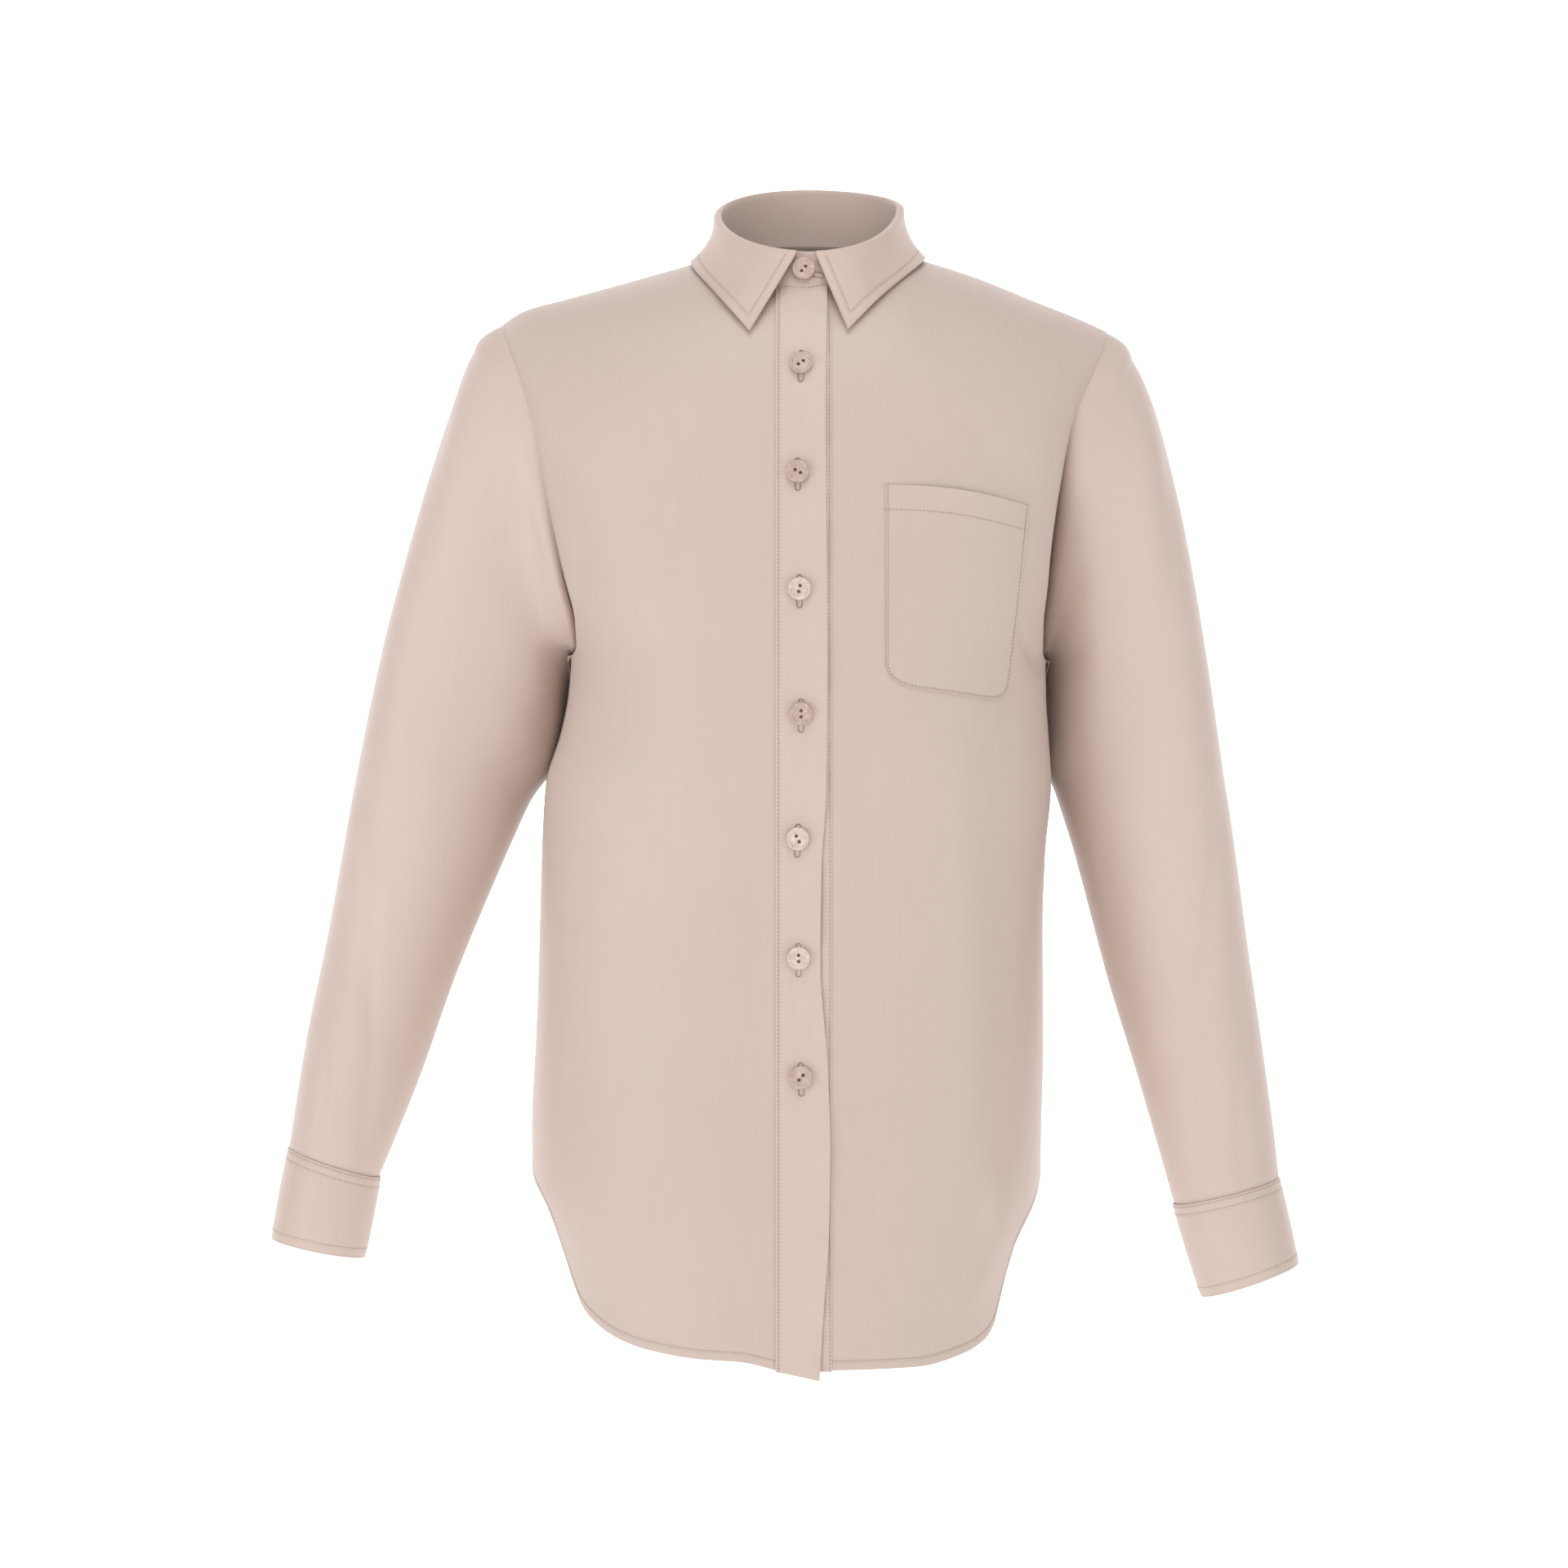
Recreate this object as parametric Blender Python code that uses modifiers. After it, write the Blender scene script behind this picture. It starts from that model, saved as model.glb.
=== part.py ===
import math

import bmesh
import bpy
import numpy as np
from mathutils import Matrix, Vector

# A long-sleeved blouse with a button front, hollow and filled out as if worn.
# Metres, +Z up, front to -Y. The wearer's right is at -X and left at +X.
# The origin is the middle of the neck base. A drop is measured down from it.

RIGHT, LEFT = -1, 1
FRONT, BACK = -1, 1

CLOTH = 0.0012
ARMHOLE_SETBACK = 0.35
ARMHOLE_STEP = 0.95
STEEPEST_SEAM = 2.0
SEAM_GAP = 0.0003
PLACKET_LIFT = 0.00085
POCKET_LIFT = CLOTH + 2 * SEAM_GAP

SHOULDER_ROLL = 0.090
FRONT_SQUARENESS = 2.5
BACK_SQUARENESS = 2.3

# Half width of the body: drop, right, left. Beside the armholes it is the width
# that the section would have if it ran on into the sleeve.
SIDES = (
    (0.038, 0.2035, 0.2095),
    (0.062, 0.1970, 0.2045),
    (0.087, 0.1900, 0.1930),
    (0.112, 0.1845, 0.1855),
    (0.138, 0.1785, 0.1800),
    (0.170, 0.1725, 0.1735),
    (0.200, 0.1655, 0.1690),
    (0.228, 0.1538, 0.1612),
    (0.252, 0.1456, 0.1562),
    (0.275, 0.1480, 0.1560),
    (0.300, 0.1534, 0.1576),
    (0.330, 0.1622, 0.1594),
    (0.375, 0.1647, 0.1558),
    (0.425, 0.1657, 0.1542),
    (0.487, 0.1677, 0.1542),
    (0.549, 0.1705, 0.1530),
    (0.575, 0.1700, 0.1525),
    (0.600, 0.1650, 0.1485),
    (0.630, 0.1560, 0.1400),
    (0.660, 0.1500, 0.1345),
    (0.700, 0.1480, 0.1320),
)

# Depth of the body from its side seams: drop, to the front, to the back.
DEPTHS = (
    (-0.050, 0.082, 0.066),
    (-0.020, 0.085, 0.072),
    (0.020, 0.090, 0.082),
    (0.060, 0.097, 0.093),
    (0.100, 0.106, 0.101),
    (0.160, 0.1170, 0.1065),
    (0.220, 0.1250, 0.1060),
    (0.280, 0.1275, 0.1020),
    (0.360, 0.1245, 0.0985),
    (0.450, 0.1225, 0.1020),
    (0.550, 0.1240, 0.1100),
    (0.700, 0.1270, 0.1170),
)

# Shoulder line: out from the centre, drop on the right, drop on the left.
SHOULDERS = (
    (0.050, -0.0052, -0.0092),
    (0.062, -0.0018, -0.0063),
    (0.110, 0.0112, 0.0077),
    (0.150, 0.0222, 0.0237),
    (0.176, 0.0294, 0.0339),
    (0.189, 0.0376, 0.0396),
    (0.196, 0.0426, 0.0431),
)
NECK_DOME_FRONT = 0.0105
NECK_DOME_BACK = 0.0430

# Armhole: turn from the shoulder tip down to the armpit in degrees, out from
# the centre on the right and on the left, share of the way down.
ARMHOLE = (
    (0, 0.1890, 0.1950, 0.000),
    (15, 0.1880, 0.1940, 0.020),
    (30, 0.1850, 0.1910, 0.065),
    (45, 0.1790, 0.1840, 0.140),
    (60, 0.1720, 0.1745, 0.240),
    (75, 0.1660, 0.1680, 0.360),
    (90, 0.1610, 0.1635, 0.490),
    (105, 0.1548, 0.1590, 0.635),
    (120, 0.1482, 0.1560, 0.775),
    (135, 0.1420, 0.1532, 0.900),
    (150, 0.1414, 0.1532, 0.972),
    (165, 0.1432, 0.1547, 0.993),
    (180, 0.1456, 0.1562, 1.000),
)
SHOULDER_TIP = {RIGHT: 0.0376, LEFT: 0.0426}
ARMPIT = {RIGHT: 0.2500, LEFT: 0.2530}

# Neckline: out from the centre at the sides, drop at the front and the back.
NECK_SIDE = {RIGHT: 0.0535, LEFT: 0.0645}
NECK_FRONT_DROP = 0.0235
NECK_BACK_DROP = -0.0170

# Hem: share of the way round from the front edge to the side seam, and drop.
FRONT_HEM = {
    RIGHT: (
        (0.00, 0.6897),
        (0.12, 0.6840),
        (0.24, 0.6827),
        (0.41, 0.6779),
        (0.50, 0.6730),
        (0.60, 0.6641),
        (0.67, 0.6540),
        (0.71, 0.6360),
        (0.745, 0.6050),
        (0.80, 0.5900),
        (0.90, 0.5790),
        (1.00, 0.5640),
    ),
    LEFT: (
        (0.00, 0.6890),
        (0.15, 0.6886),
        (0.29, 0.6880),
        (0.43, 0.6834),
        (0.56, 0.6757),
        (0.63, 0.6650),
        (0.66, 0.6450),
        (0.68, 0.6200),
        (0.75, 0.6050),
        (0.86, 0.5910),
        (0.92, 0.5790),
        (1.00, 0.5640),
    ),
}
BACK_HEM = (
    (0.00, 0.6900),
    (0.25, 0.6860),
    (0.42, 0.6740),
    (0.56, 0.6480),
    (0.70, 0.6080),
    (0.84, 0.5780),
    (1.00, 0.5640),
)

# Where each front ends beside its placket.
FRONT_EDGE = {RIGHT: -0.0155, LEFT: 0.0185}
# Free edge of the upper placket: drop, x.
PLACKET_EDGE = (
    (0.020, 0.0165),
    (0.100, 0.0152),
    (0.250, 0.0160),
    (0.330, 0.0155),
    (0.385, 0.0125),
    (0.440, 0.0118),
    (0.500, 0.0160),
    (0.550, 0.0178),
    (0.600, 0.0172),
    (0.650, 0.0140),
    (0.700, 0.0110),
)
UNDER_PLACKET_EDGE = -0.0150
PLACKET_POINT_DROP = 0.0055
STRIP_BLEND = 1.15

# Sleeve rings: outer x, outer drop, inner x, inner drop, half depth, y of the
# outer side, y of the inner side, squareness. Where a ring reaches into the
# body it is moved out of it.
SLEEVE_RINGS = {
    RIGHT: (
        (0.1890, 0.0376, 0.1456, 0.2500, 0.0600, -0.003, -0.003, 2.4),
        (0.2078, 0.0560, 0.1530, 0.2548, 0.0600, -0.003, 0.004, 2.5),
        (0.2235, 0.0965, 0.1535, 0.2650, 0.0600, -0.005, 0.016, 2.6),
        (0.2378, 0.1435, 0.1500, 0.2840, 0.0600, -0.007, 0.026, 2.6),
        (0.2550, 0.2060, 0.1535, 0.3120, 0.0590, -0.008, 0.030, 2.5),
        (0.2702, 0.2690, 0.1725, 0.3400, 0.0560, -0.008, 0.024, 2.3),
        (0.2830, 0.3310, 0.1862, 0.3700, 0.0520, -0.010, 0.014, 2.1),
        (0.3000, 0.4250, 0.2214, 0.4560, 0.0460, -0.010, 0.004, 2.0),
        (0.3120, 0.4870, 0.2426, 0.5180, 0.0415, -0.016, -0.008, 2.0),
        (0.3233, 0.5600, 0.2668, 0.5790, 0.0345, -0.024, -0.024, 2.0),
    ),
    LEFT: (
        (0.1950, 0.0426, 0.1562, 0.2530, 0.0600, -0.003, -0.003, 2.4),
        (0.2113, 0.0600, 0.1650, 0.2580, 0.0600, -0.003, 0.004, 2.4),
        (0.2274, 0.0965, 0.1610, 0.2680, 0.0600, -0.005, 0.016, 2.4),
        (0.2389, 0.1435, 0.1570, 0.2870, 0.0600, -0.006, 0.026, 2.3),
        (0.2503, 0.2060, 0.1570, 0.3120, 0.0580, -0.007, 0.030, 2.2),
        (0.2607, 0.2690, 0.1655, 0.3400, 0.0555, -0.007, 0.024, 2.2),
        (0.2701, 0.3310, 0.1738, 0.3680, 0.0525, -0.008, 0.014, 2.1),
        (0.2831, 0.4250, 0.1970, 0.4560, 0.0470, -0.010, 0.004, 2.0),
        (0.2915, 0.4870, 0.2137, 0.5130, 0.0425, -0.016, -0.008, 2.0),
        (0.3022, 0.5790, 0.2365, 0.5960, 0.0360, -0.026, -0.026, 2.0),
    ),
}
CAP_ROUNDING = 0.0035
CAP_REACH = 3.0
# Fold beside the front of the armhole: drop, depth behind the body's front, width.
ARMHOLE_FOLD = {
    RIGHT: (
        (0.150, 0.0, 0.012),
        (0.187, 0.009, 0.014),
        (0.218, 0.020, 0.018),
        (0.248, 0.026, 0.022),
        (0.280, 0.014, 0.022),
        (0.330, 0.0, 0.018),
    ),
    LEFT: (
        (0.110, 0.0, 0.014),
        (0.140, 0.014, 0.020),
        (0.160, 0.030, 0.026),
        (0.187, 0.044, 0.032),
        (0.218, 0.054, 0.035),
        (0.248, 0.052, 0.035),
        (0.275, 0.032, 0.032),
        (0.320, 0.0, 0.026),
    ),
}
FOLD_START = 0.002
FOLD_LAST_TURN = 176
FOLD_TURN_FADE = 24
# Places on the front's edge that the fold follows: turns round the armhole,
# then drops below the armpit.
FOLD_EDGE_TURNS = range(0, 181, 5)
FOLD_EDGE_START = 0.005
FOLD_EDGE_END = 0.37
FOLD_EDGE_STEP = 0.01
CUFF_END = {
    RIGHT: (0.3335, 0.6170, 0.2763, 0.6290, 0.0315, -0.029, -0.029, 2.0),
    LEFT: (0.3138, 0.6325, 0.2540, 0.6535, 0.0320, -0.031, -0.031, 2.0),
}
SLEEVE_CLEARANCE = 0.0024
CUFF_LAP = 42
CUFF_LAP_AT = 262
CUFF_SPIRAL = 0.00095
CUFF_BUTTON_COLUMN = -3

# Fold line at the top of the collar.
FOLD_CENTRE_X = 0.0055
FOLD_HALF_WIDTH = 0.0558
FOLD_DEPTH = {FRONT: 0.066, BACK: 0.053}
FOLD_RISE = {FRONT: 0.0012, BACK: 0.0545}
FOLD_SIDE_RISE = {RIGHT: 0.0325, LEFT: 0.0375}
STAND_ENDS = (17.0, -375.0)
STAND_LAP_LIFT = 0.00085
STAND_LAP_REACH = 60.0
LEAF_ENDS = (-8.0, -356.0)
LEAF_ROLL = 0.0022
LEAF_FLARE = 1.2
FLARE_FROM = 0.75
LEAF_RISE = 0.0012
LEAF_SEAM_LIFT = 0.0006

# Lower edge of the collar leaf, from the right point round the back to the
# left point: share of the way, x, y, drop.
LEAF_EDGE = (
    (0.00, -0.0317, -0.0935, 0.0505),
    (0.12, -0.0505, -0.0760, 0.0275),
    (0.25, -0.0695, -0.0240, 0.0010),
    (0.30, -0.0690, 0.0000, -0.0022),
    (0.36, -0.0640, 0.0330, -0.0010),
    (0.50, 0.0060, 0.0715, -0.0080),
    (0.64, 0.0760, 0.0330, -0.0030),
    (0.70, 0.0785, 0.0000, -0.0044),
    (0.75, 0.0790, -0.0240, -0.0020),
    (0.88, 0.0505, -0.0760, 0.0265),
    (1.00, 0.0290, -0.0935, 0.0495),
)

# Pocket corners: x, drop.
POCKET = {
    "top_inner": (0.0517, 0.1471),
    "top_outer": (0.1415, 0.1583),
    "low_inner": (0.0517, 0.2700),
    "low_outer": (0.1275, 0.2800),
}
POCKET_CORNER_INNER = (0.24, 0.10)
POCKET_CORNER_OUTER = (0.16, 0.09)

# Buttons: x, drop, turn of the two holes from upright in degrees.
BUTTONS = (
    (0.0000, 0.0720, 55),
    (-0.0020, 0.1396, -60),
    (-0.0010, 0.2117, 15),
    (0.0000, 0.2878, 0),
    (-0.0020, 0.3641, -25),
    (-0.0015, 0.4372, 0),
    (0.0000, 0.5101, 40),
)
COLLAR_BUTTON = (-0.0015, 0.0105, 40)
BUTTON_RADIUS = 0.0070
BUTTON_THICKNESS = 0.0026
BUTTON_RIM = 0.0016
BUTTON_DISH = 0.0006
BUTTON_BEVEL = 0.0006
BUTTON_FOOT = 0.0010
HOLE_RADIUS = 0.00115
HOLE_SPACING = 0.0038
HOLE_SIDES = 8
BUTTON_STEPS = 20
MERGE_DISTANCE = 0.00001
SHARP_DEGREES = 35

# How the columns of a front or back move outward between shoulder and armpit.
PLACE_BLEND = 1.5
GUIDE_BLEND = 0.6
EDGE_BLEND = 4

NECK_COLUMNS = 4
SHOULDER_COLUMNS = 9
ARMHOLE_ROWS = 12
LOWER_ROWS = 11
SLEEVE_COLUMNS = 24
SLEEVE_FIRST_PLACES = (0.0, 0.3, 0.65)
CUFF_COLUMNS = 28
CUFF_ROWS = 4
COLLAR_COLUMNS = 37
STAND_ROWS = 4
LEAF_ROLL_TURNS = (180, 135, 90, 45, 0)
LEAF_ROWS = 6
POCKET_COLUMNS = 11
POCKET_ROWS = 9
ARC_SAMPLES = 240

# Base colour and roughness of each material.
FINISHES = {
    "cloth": ((0.68, 0.53, 0.46, 1.0), 0.75),
    "collar": ((0.66, 0.51, 0.44, 1.0), 0.75),
    "placket": ((0.70, 0.54, 0.46, 1.0), 0.75),
    "button": ((0.69, 0.52, 0.45, 1.0), 0.30),
}


# Values at any place on a smooth curve through a table's rows, with no overshoot.
def along(keys, values, at):
    keys = np.asarray(keys, float)
    values = np.asarray(values, float)
    steps = np.diff(keys)
    rises = np.diff(values) / steps
    slopes = np.zeros(len(values))
    slopes[0] = rises[0]
    slopes[-1] = rises[-1]
    same_way = rises[:-1] * rises[1:] > 0
    total = np.where(same_way, rises[:-1] + rises[1:], 1.0)
    slopes[1:-1] = np.where(same_way, 2 * rises[:-1] * rises[1:] / total, 0.0)
    at = np.clip(np.asarray(at, float), keys[0], keys[-1])
    i = np.clip(np.searchsorted(keys, at, side="right") - 1, 0, len(steps) - 1)
    t = (at - keys[i]) / steps[i]
    rest = 1 - t
    ends = values[i] * rest * rest * (1 + 2 * t) + values[i + 1] * t * t * (3 - 2 * t)
    return ends + steps[i] * t * rest * (slopes[i] * rest - slopes[i + 1] * t)


def column(table, index):
    return [row[index] for row in table]


def smoothstep(t):
    t = np.clip(t, 0.0, 1.0)
    return t * t * (3 - 2 * t)


def depth(face, drop):
    return along(column(DEPTHS, 0), column(DEPTHS, 1 if face == FRONT else 2), drop)


def squareness(face):
    return FRONT_SQUARENESS if face == FRONT else BACK_SQUARENESS


# Drop of the shoulder ridge. Inside the neck it is a low dome that the neckline cuts.
def ridge(side, face, out):
    out = np.asarray(out, float)
    drops = column(SHOULDERS, 1 if side == RIGHT else 2)
    on_shoulder = along(column(SHOULDERS, 0), drops, out)
    neck = NECK_SIDE[side]
    at_neck = along(column(SHOULDERS, 0), drops, neck)
    dome = NECK_DOME_FRONT if face == FRONT else NECK_DOME_BACK
    in_neck = at_neck - (dome + at_neck) * (1 - np.clip(out / neck, 0.0, 1.0) ** 2)
    return np.where(out < neck, in_neck, on_shoulder)


# How much of the full depth the body has at a height below its ridge.
def roll(height):
    share = np.clip(np.asarray(height, float) / SHOULDER_ROLL, 0.0, 1.0)
    return np.sqrt(1 - (1 - share) ** 2)


def half_width(side, drop):
    return along(column(SIDES, 0), column(SIDES, 1 if side == RIGHT else 2), drop)


# y of the body's surface where it is looked at from the front or the back.
def skin(side, face, out, drop):
    power = squareness(face)
    across = np.clip(np.asarray(out, float) / half_width(side, drop), 0.0, 1.0)
    level = (1 - across**power) ** (1 / power)
    return face * depth(face, drop) * level * roll(drop - ridge(side, face, out))


# Out from the centre, y and drop of the armhole, by the turn from the shoulder tip.
def armhole(side, face, turn):
    share = along(column(ARMHOLE, 0), column(ARMHOLE, 3), turn)
    out = along(column(ARMHOLE, 0), column(ARMHOLE, 1 if side == RIGHT else 2), turn)
    drop = SHOULDER_TIP[side] + (ARMPIT[side] - SHOULDER_TIP[side]) * share
    return out, skin(side, face, out, drop), drop


# Drop of the neckline at a place out from the centre.
def neckline(side, face, out):
    low = NECK_FRONT_DROP if face == FRONT else NECK_BACK_DROP
    top = ridge(side, face, NECK_SIDE[side])
    across = np.clip(np.asarray(out, float) / NECK_SIDE[side], 0.0, 1.0)
    return top + (low - top) * np.sqrt(1 - across**2)


# Places out from the centre that space a row of the body evenly along the cloth.
def spread(side, face, drop, inner, count):
    power = squareness(face)
    width = half_width(side, drop)
    full = depth(face, drop)
    start = math.asin(min(1.0, (inner / width) ** (power / 2)))
    turn = np.linspace(start, math.pi / 2, ARC_SAMPLES)
    out = width * np.sin(turn) ** (2 / power)
    y = full * np.cos(turn) ** (2 / power)
    length = np.concatenate([[0], np.cumsum(np.hypot(np.diff(out), np.diff(y)))])
    wanted = np.linspace(0, length[-1], count)
    return np.interp(wanted, length, out), np.interp(wanted, length, y)


# Mid surface of half the front or back: rows from the neck and shoulder down
# to the hem, columns from the centre to the armhole and side seam.
def half_panel(side, face, inner, hem):
    columns = NECK_COLUMNS + SHOULDER_COLUMNS + 1
    rows = ARMHOLE_ROWS + LOWER_ROWS + 1
    neck = NECK_SIDE[side]
    turn = np.linspace(math.asin(inner / neck), math.pi / 2, NECK_COLUMNS + 1)
    tip = armhole(side, face, 0)[0]
    top_out = np.concatenate([neck * np.sin(turn), np.linspace(neck, tip, SHOULDER_COLUMNS + 1)[1:]])
    top_drop = np.where(top_out < neck, neckline(side, face, top_out), ridge(side, face, top_out))
    pit_out, pit_y = spread(side, face, ARMPIT[side], inner, columns)
    shares = np.linspace(0, 1, columns)
    hem_drop = along(column(hem, 0), column(hem, 1), shares)
    points = np.zeros((rows, columns, 3))
    for row in range(rows):
        if row <= ARMHOLE_ROWS:
            angle = 180 * row / ARMHOLE_ROWS
            down = float(along(column(ARMHOLE, 0), column(ARMHOLE, 3), angle))
            drop = top_drop + (ARMPIT[side] - top_drop) * down
            edge = armhole(side, face, angle)[0]
            place_top = (top_out - inner) / (tip - inner)
            place_pit = (pit_out - inner) / (pit_out[-1] - inner)
            place = place_top + (place_pit - place_top) * down**PLACE_BLEND
            guide = tip + (pit_out[-1] - tip) * down**GUIDE_BLEND
            out = inner + place * (guide - inner) + (edge - guide) * place**EDGE_BLEND
            y = face * pit_y if row == ARMHOLE_ROWS else skin(side, face, out, drop)
            out = out - (SEAM_GAP / 2 + CLOTH * ARMHOLE_SETBACK * down) * shares**2
        else:
            down = (row - ARMHOLE_ROWS) / LOWER_ROWS
            drop = ARMPIT[side] + (hem_drop - ARMPIT[side]) * down
            placed = [spread(side, face, drop[k], inner, columns) for k in range(columns)]
            out = np.array([placed[k][0][k] for k in range(columns)])
            y = face * np.array([placed[k][1][k] for k in range(columns)])
        points[row, :, 0] = side * out
        points[row, :, 1] = y
        points[row, :, 2] = -drop
    fall = points[1, NECK_COLUMNS:] - points[0, NECK_COLUMNS:]
    steep = np.abs(fall[:, 2] / fall[:, 1])
    points[0, NECK_COLUMNS:, 1] = face * (SEAM_GAP + CLOTH * np.minimum(steep, STEEPEST_SEAM)) / 2
    points[ARMHOLE_ROWS:, -1, 1] = face * SEAM_GAP / 2
    return points


# Normals of a grid of points, from its rows and columns.
def grid_normals(points):
    down = np.gradient(points, axis=0)
    across = np.gradient(points, axis=1)
    normals = np.cross(across, down)
    return normals / np.linalg.norm(normals, axis=2, keepdims=True)


def collection(name):
    made = bpy.data.collections.new(name)
    bpy.context.scene.collection.children.link(made)
    return made


def material(name):
    colour, roughness = FINISHES[name]
    made = bpy.data.materials.new(name)
    made.use_nodes = True
    shader = made.node_tree.nodes["Principled BSDF"]
    shader.inputs["Base Color"].default_value = colour
    shader.inputs["Roughness"].default_value = roughness
    shader.inputs["Metallic"].default_value = 0.0
    return made


# A cloth piece: a loft through the rows of a grid, open or joined across its
# columns, given its thickness by Solidify.
def cloth_piece(name, points, finish, group, ring=False):
    rows, columns = points.shape[:2]
    faces = []
    for row in range(rows - 1):
        for k in range(columns if ring else columns - 1):
            beside = (k + 1) % columns
            here = row * columns
            below = here + columns
            faces.append((here + k, here + beside, below + beside, below + k))
    mesh = bpy.data.meshes.new(name)
    mesh.from_pydata(points.reshape(-1, 3).tolist(), [], faces)
    mesh.update()
    piece = bpy.data.objects.new(name, mesh)
    group.objects.link(piece)
    piece.data.materials.append(finish)
    mesh.shade_smooth()
    wall = piece.modifiers.new("Wall", "SOLIDIFY")
    wall.thickness = CLOTH
    wall.offset = 0.0
    wall.use_even_offset = True
    wall.use_quality_normals = True
    return piece


def fronts_and_back(finish, group):
    for side, name in ((RIGHT, "front_right"), (LEFT, "front_left")):
        points = half_panel(side, FRONT, abs(FRONT_EDGE[side]), FRONT_HEM[side])
        cloth_piece(name, points, finish, group)
    halves = {side: half_panel(side, BACK, 0.0, BACK_HEM) for side in (RIGHT, LEFT)}
    middle = (halves[RIGHT][:, :1] + halves[LEFT][:, :1]) / 2
    whole = np.concatenate([halves[RIGHT][:, :0:-1], middle, halves[LEFT][:, 1:]], axis=1)
    cloth_piece("back", whole, finish, group)


# A strip down the front, by the drops of its rows and the x of its two edges.
def front_strip(top_drop, low_drop, left_x, right_x, lift, columns=3):
    rows = ARMHOLE_ROWS + LOWER_ROWS + 1
    points = np.zeros((rows, columns, 3))
    for k in range(columns):
        share = k / (columns - 1)
        drops = top_drop[k] + (low_drop[k] - top_drop[k]) * np.linspace(0, 1, rows) ** STRIP_BLEND
        x = left_x(drops) + (right_x(drops) - left_x(drops)) * share
        y = [skin(RIGHT if x[i] < 0 else LEFT, FRONT, abs(x[i]), drops[i]) for i in range(rows)]
        points[:, k, 0] = x
        points[:, k, 1] = y
        points[:, k, 2] = -drops
    return points - grid_normals(points) * lift


def neck_drops(xs):
    return [float(neckline(RIGHT if x < 0 else LEFT, FRONT, abs(x))) for x in xs]


def plackets(finish, group):
    seam = FRONT_EDGE[RIGHT] + SEAM_GAP
    upper_x = np.linspace(seam, PLACKET_EDGE[0][1], 3)
    hem = FRONT_HEM[RIGHT][0][1]
    upper = front_strip(
        neck_drops(upper_x),
        np.linspace(hem, hem + PLACKET_POINT_DROP, 3),
        lambda drops: np.full(len(drops), seam),
        lambda drops: along(column(PLACKET_EDGE, 0), column(PLACKET_EDGE, 1), drops),
        PLACKET_LIFT,
    )
    cloth_piece("placket_right", upper, finish, group)
    inner_seam = FRONT_EDGE[LEFT] - SEAM_GAP
    under_x = np.linspace(UNDER_PLACKET_EDGE, inner_seam, 3)
    under = front_strip(
        neck_drops(under_x),
        np.linspace(hem, hem, 3),
        lambda drops: np.full(len(drops), UNDER_PLACKET_EDGE),
        lambda drops: np.full(len(drops), inner_seam),
        -PLACKET_LIFT,
    )
    cloth_piece("placket_left", under, finish, group)
    return upper


# One ring of a sleeve: turn 0 at the outer arm, 90 at the front, 180 inside.
def ring_points(row, turns):
    outer_x, outer_drop, inner_x, inner_drop, half_depth, outer_y, inner_y, power = row
    outer = np.array([outer_x, outer_y, -outer_drop])
    inner = np.array([inner_x, inner_y, -inner_drop])
    centre = (outer + inner) / 2
    angle = np.radians(turns)[:, None]
    forward = np.array([0.0, -half_depth, 0.0])
    level = np.abs(np.cos(angle)) ** power + np.abs(np.sin(angle)) ** power
    ring = np.cos(angle) * (outer - centre) + np.sin(angle) * forward
    return centre + ring / level ** (1 / power)


def armhole_loop(side, turns):
    points = np.zeros((len(turns), 3))
    for k, turn in enumerate(turns):
        face = FRONT if turn <= 180 else BACK
        out, y, drop = armhole(side, face, turn if turn <= 180 else 360 - turn)
        points[k] = (out, y, -drop)
    down = (1 - np.cos(np.radians(turns))) / 2
    points[:, 0] += SEAM_GAP / 2 + CLOTH * ARMHOLE_STEP * down**2
    return points


# Keeps a sleeve's points just outside the body, where the sleeve hangs against it.
def clear_of_body(side, points):
    for point in points.reshape(-1, 3):
        drop = -point[2]
        if drop <= ARMPIT[side]:
            continue
        face = FRONT if point[1] < 0 else BACK
        power = squareness(face)
        width = half_width(side, drop) + SLEEVE_CLEARANCE
        reach = depth(face, drop) + SLEEVE_CLEARANCE
        level = ((abs(point[0]) / width) ** power + (abs(point[1]) / reach) ** power) ** (1 / power)
        if level < 1:
            point[0] /= level
            point[1] /= level


# Sleeve cloth falls back behind the front's edge in one deep fold.
def armhole_fold(side, rings, turns, lengths):
    edge = armhole_loop(side, FOLD_EDGE_TURNS)
    drops = np.arange(ARMPIT[side] + FOLD_EDGE_START, FOLD_EDGE_END, FOLD_EDGE_STEP)
    below = np.stack([half_width(side, drops), 0 * drops, -drops], axis=1)
    line = np.concatenate([edge, below])[:, [0, 2]]
    flat = rings[:, :, [0, 2]]
    gap = np.full(rings.shape[:2], np.inf)
    for a, b in zip(line[:-1], line[1:]):
        run = b - a
        t = np.clip(((flat - a) @ run) / (run @ run), 0, 1)
        gap = np.minimum(gap, np.linalg.norm(flat - a - t[:, :, None] * run, axis=2))
    keys, depths, widths = zip(*ARMHOLE_FOLD[side])
    drop = np.clip(-rings[:, :, 2], keys[0], keys[-1])
    away = 1 - np.minimum(gap / along(keys, widths, drop), 1.0)
    roll = 1 - np.sqrt(1 - away**2)
    facing = smoothstep((FOLD_LAST_TURN - turns) / FOLD_TURN_FADE)[None]
    rings[:, :, 1] += along(keys, depths, drop) * roll * facing * smoothstep(lengths / FOLD_START)


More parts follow.
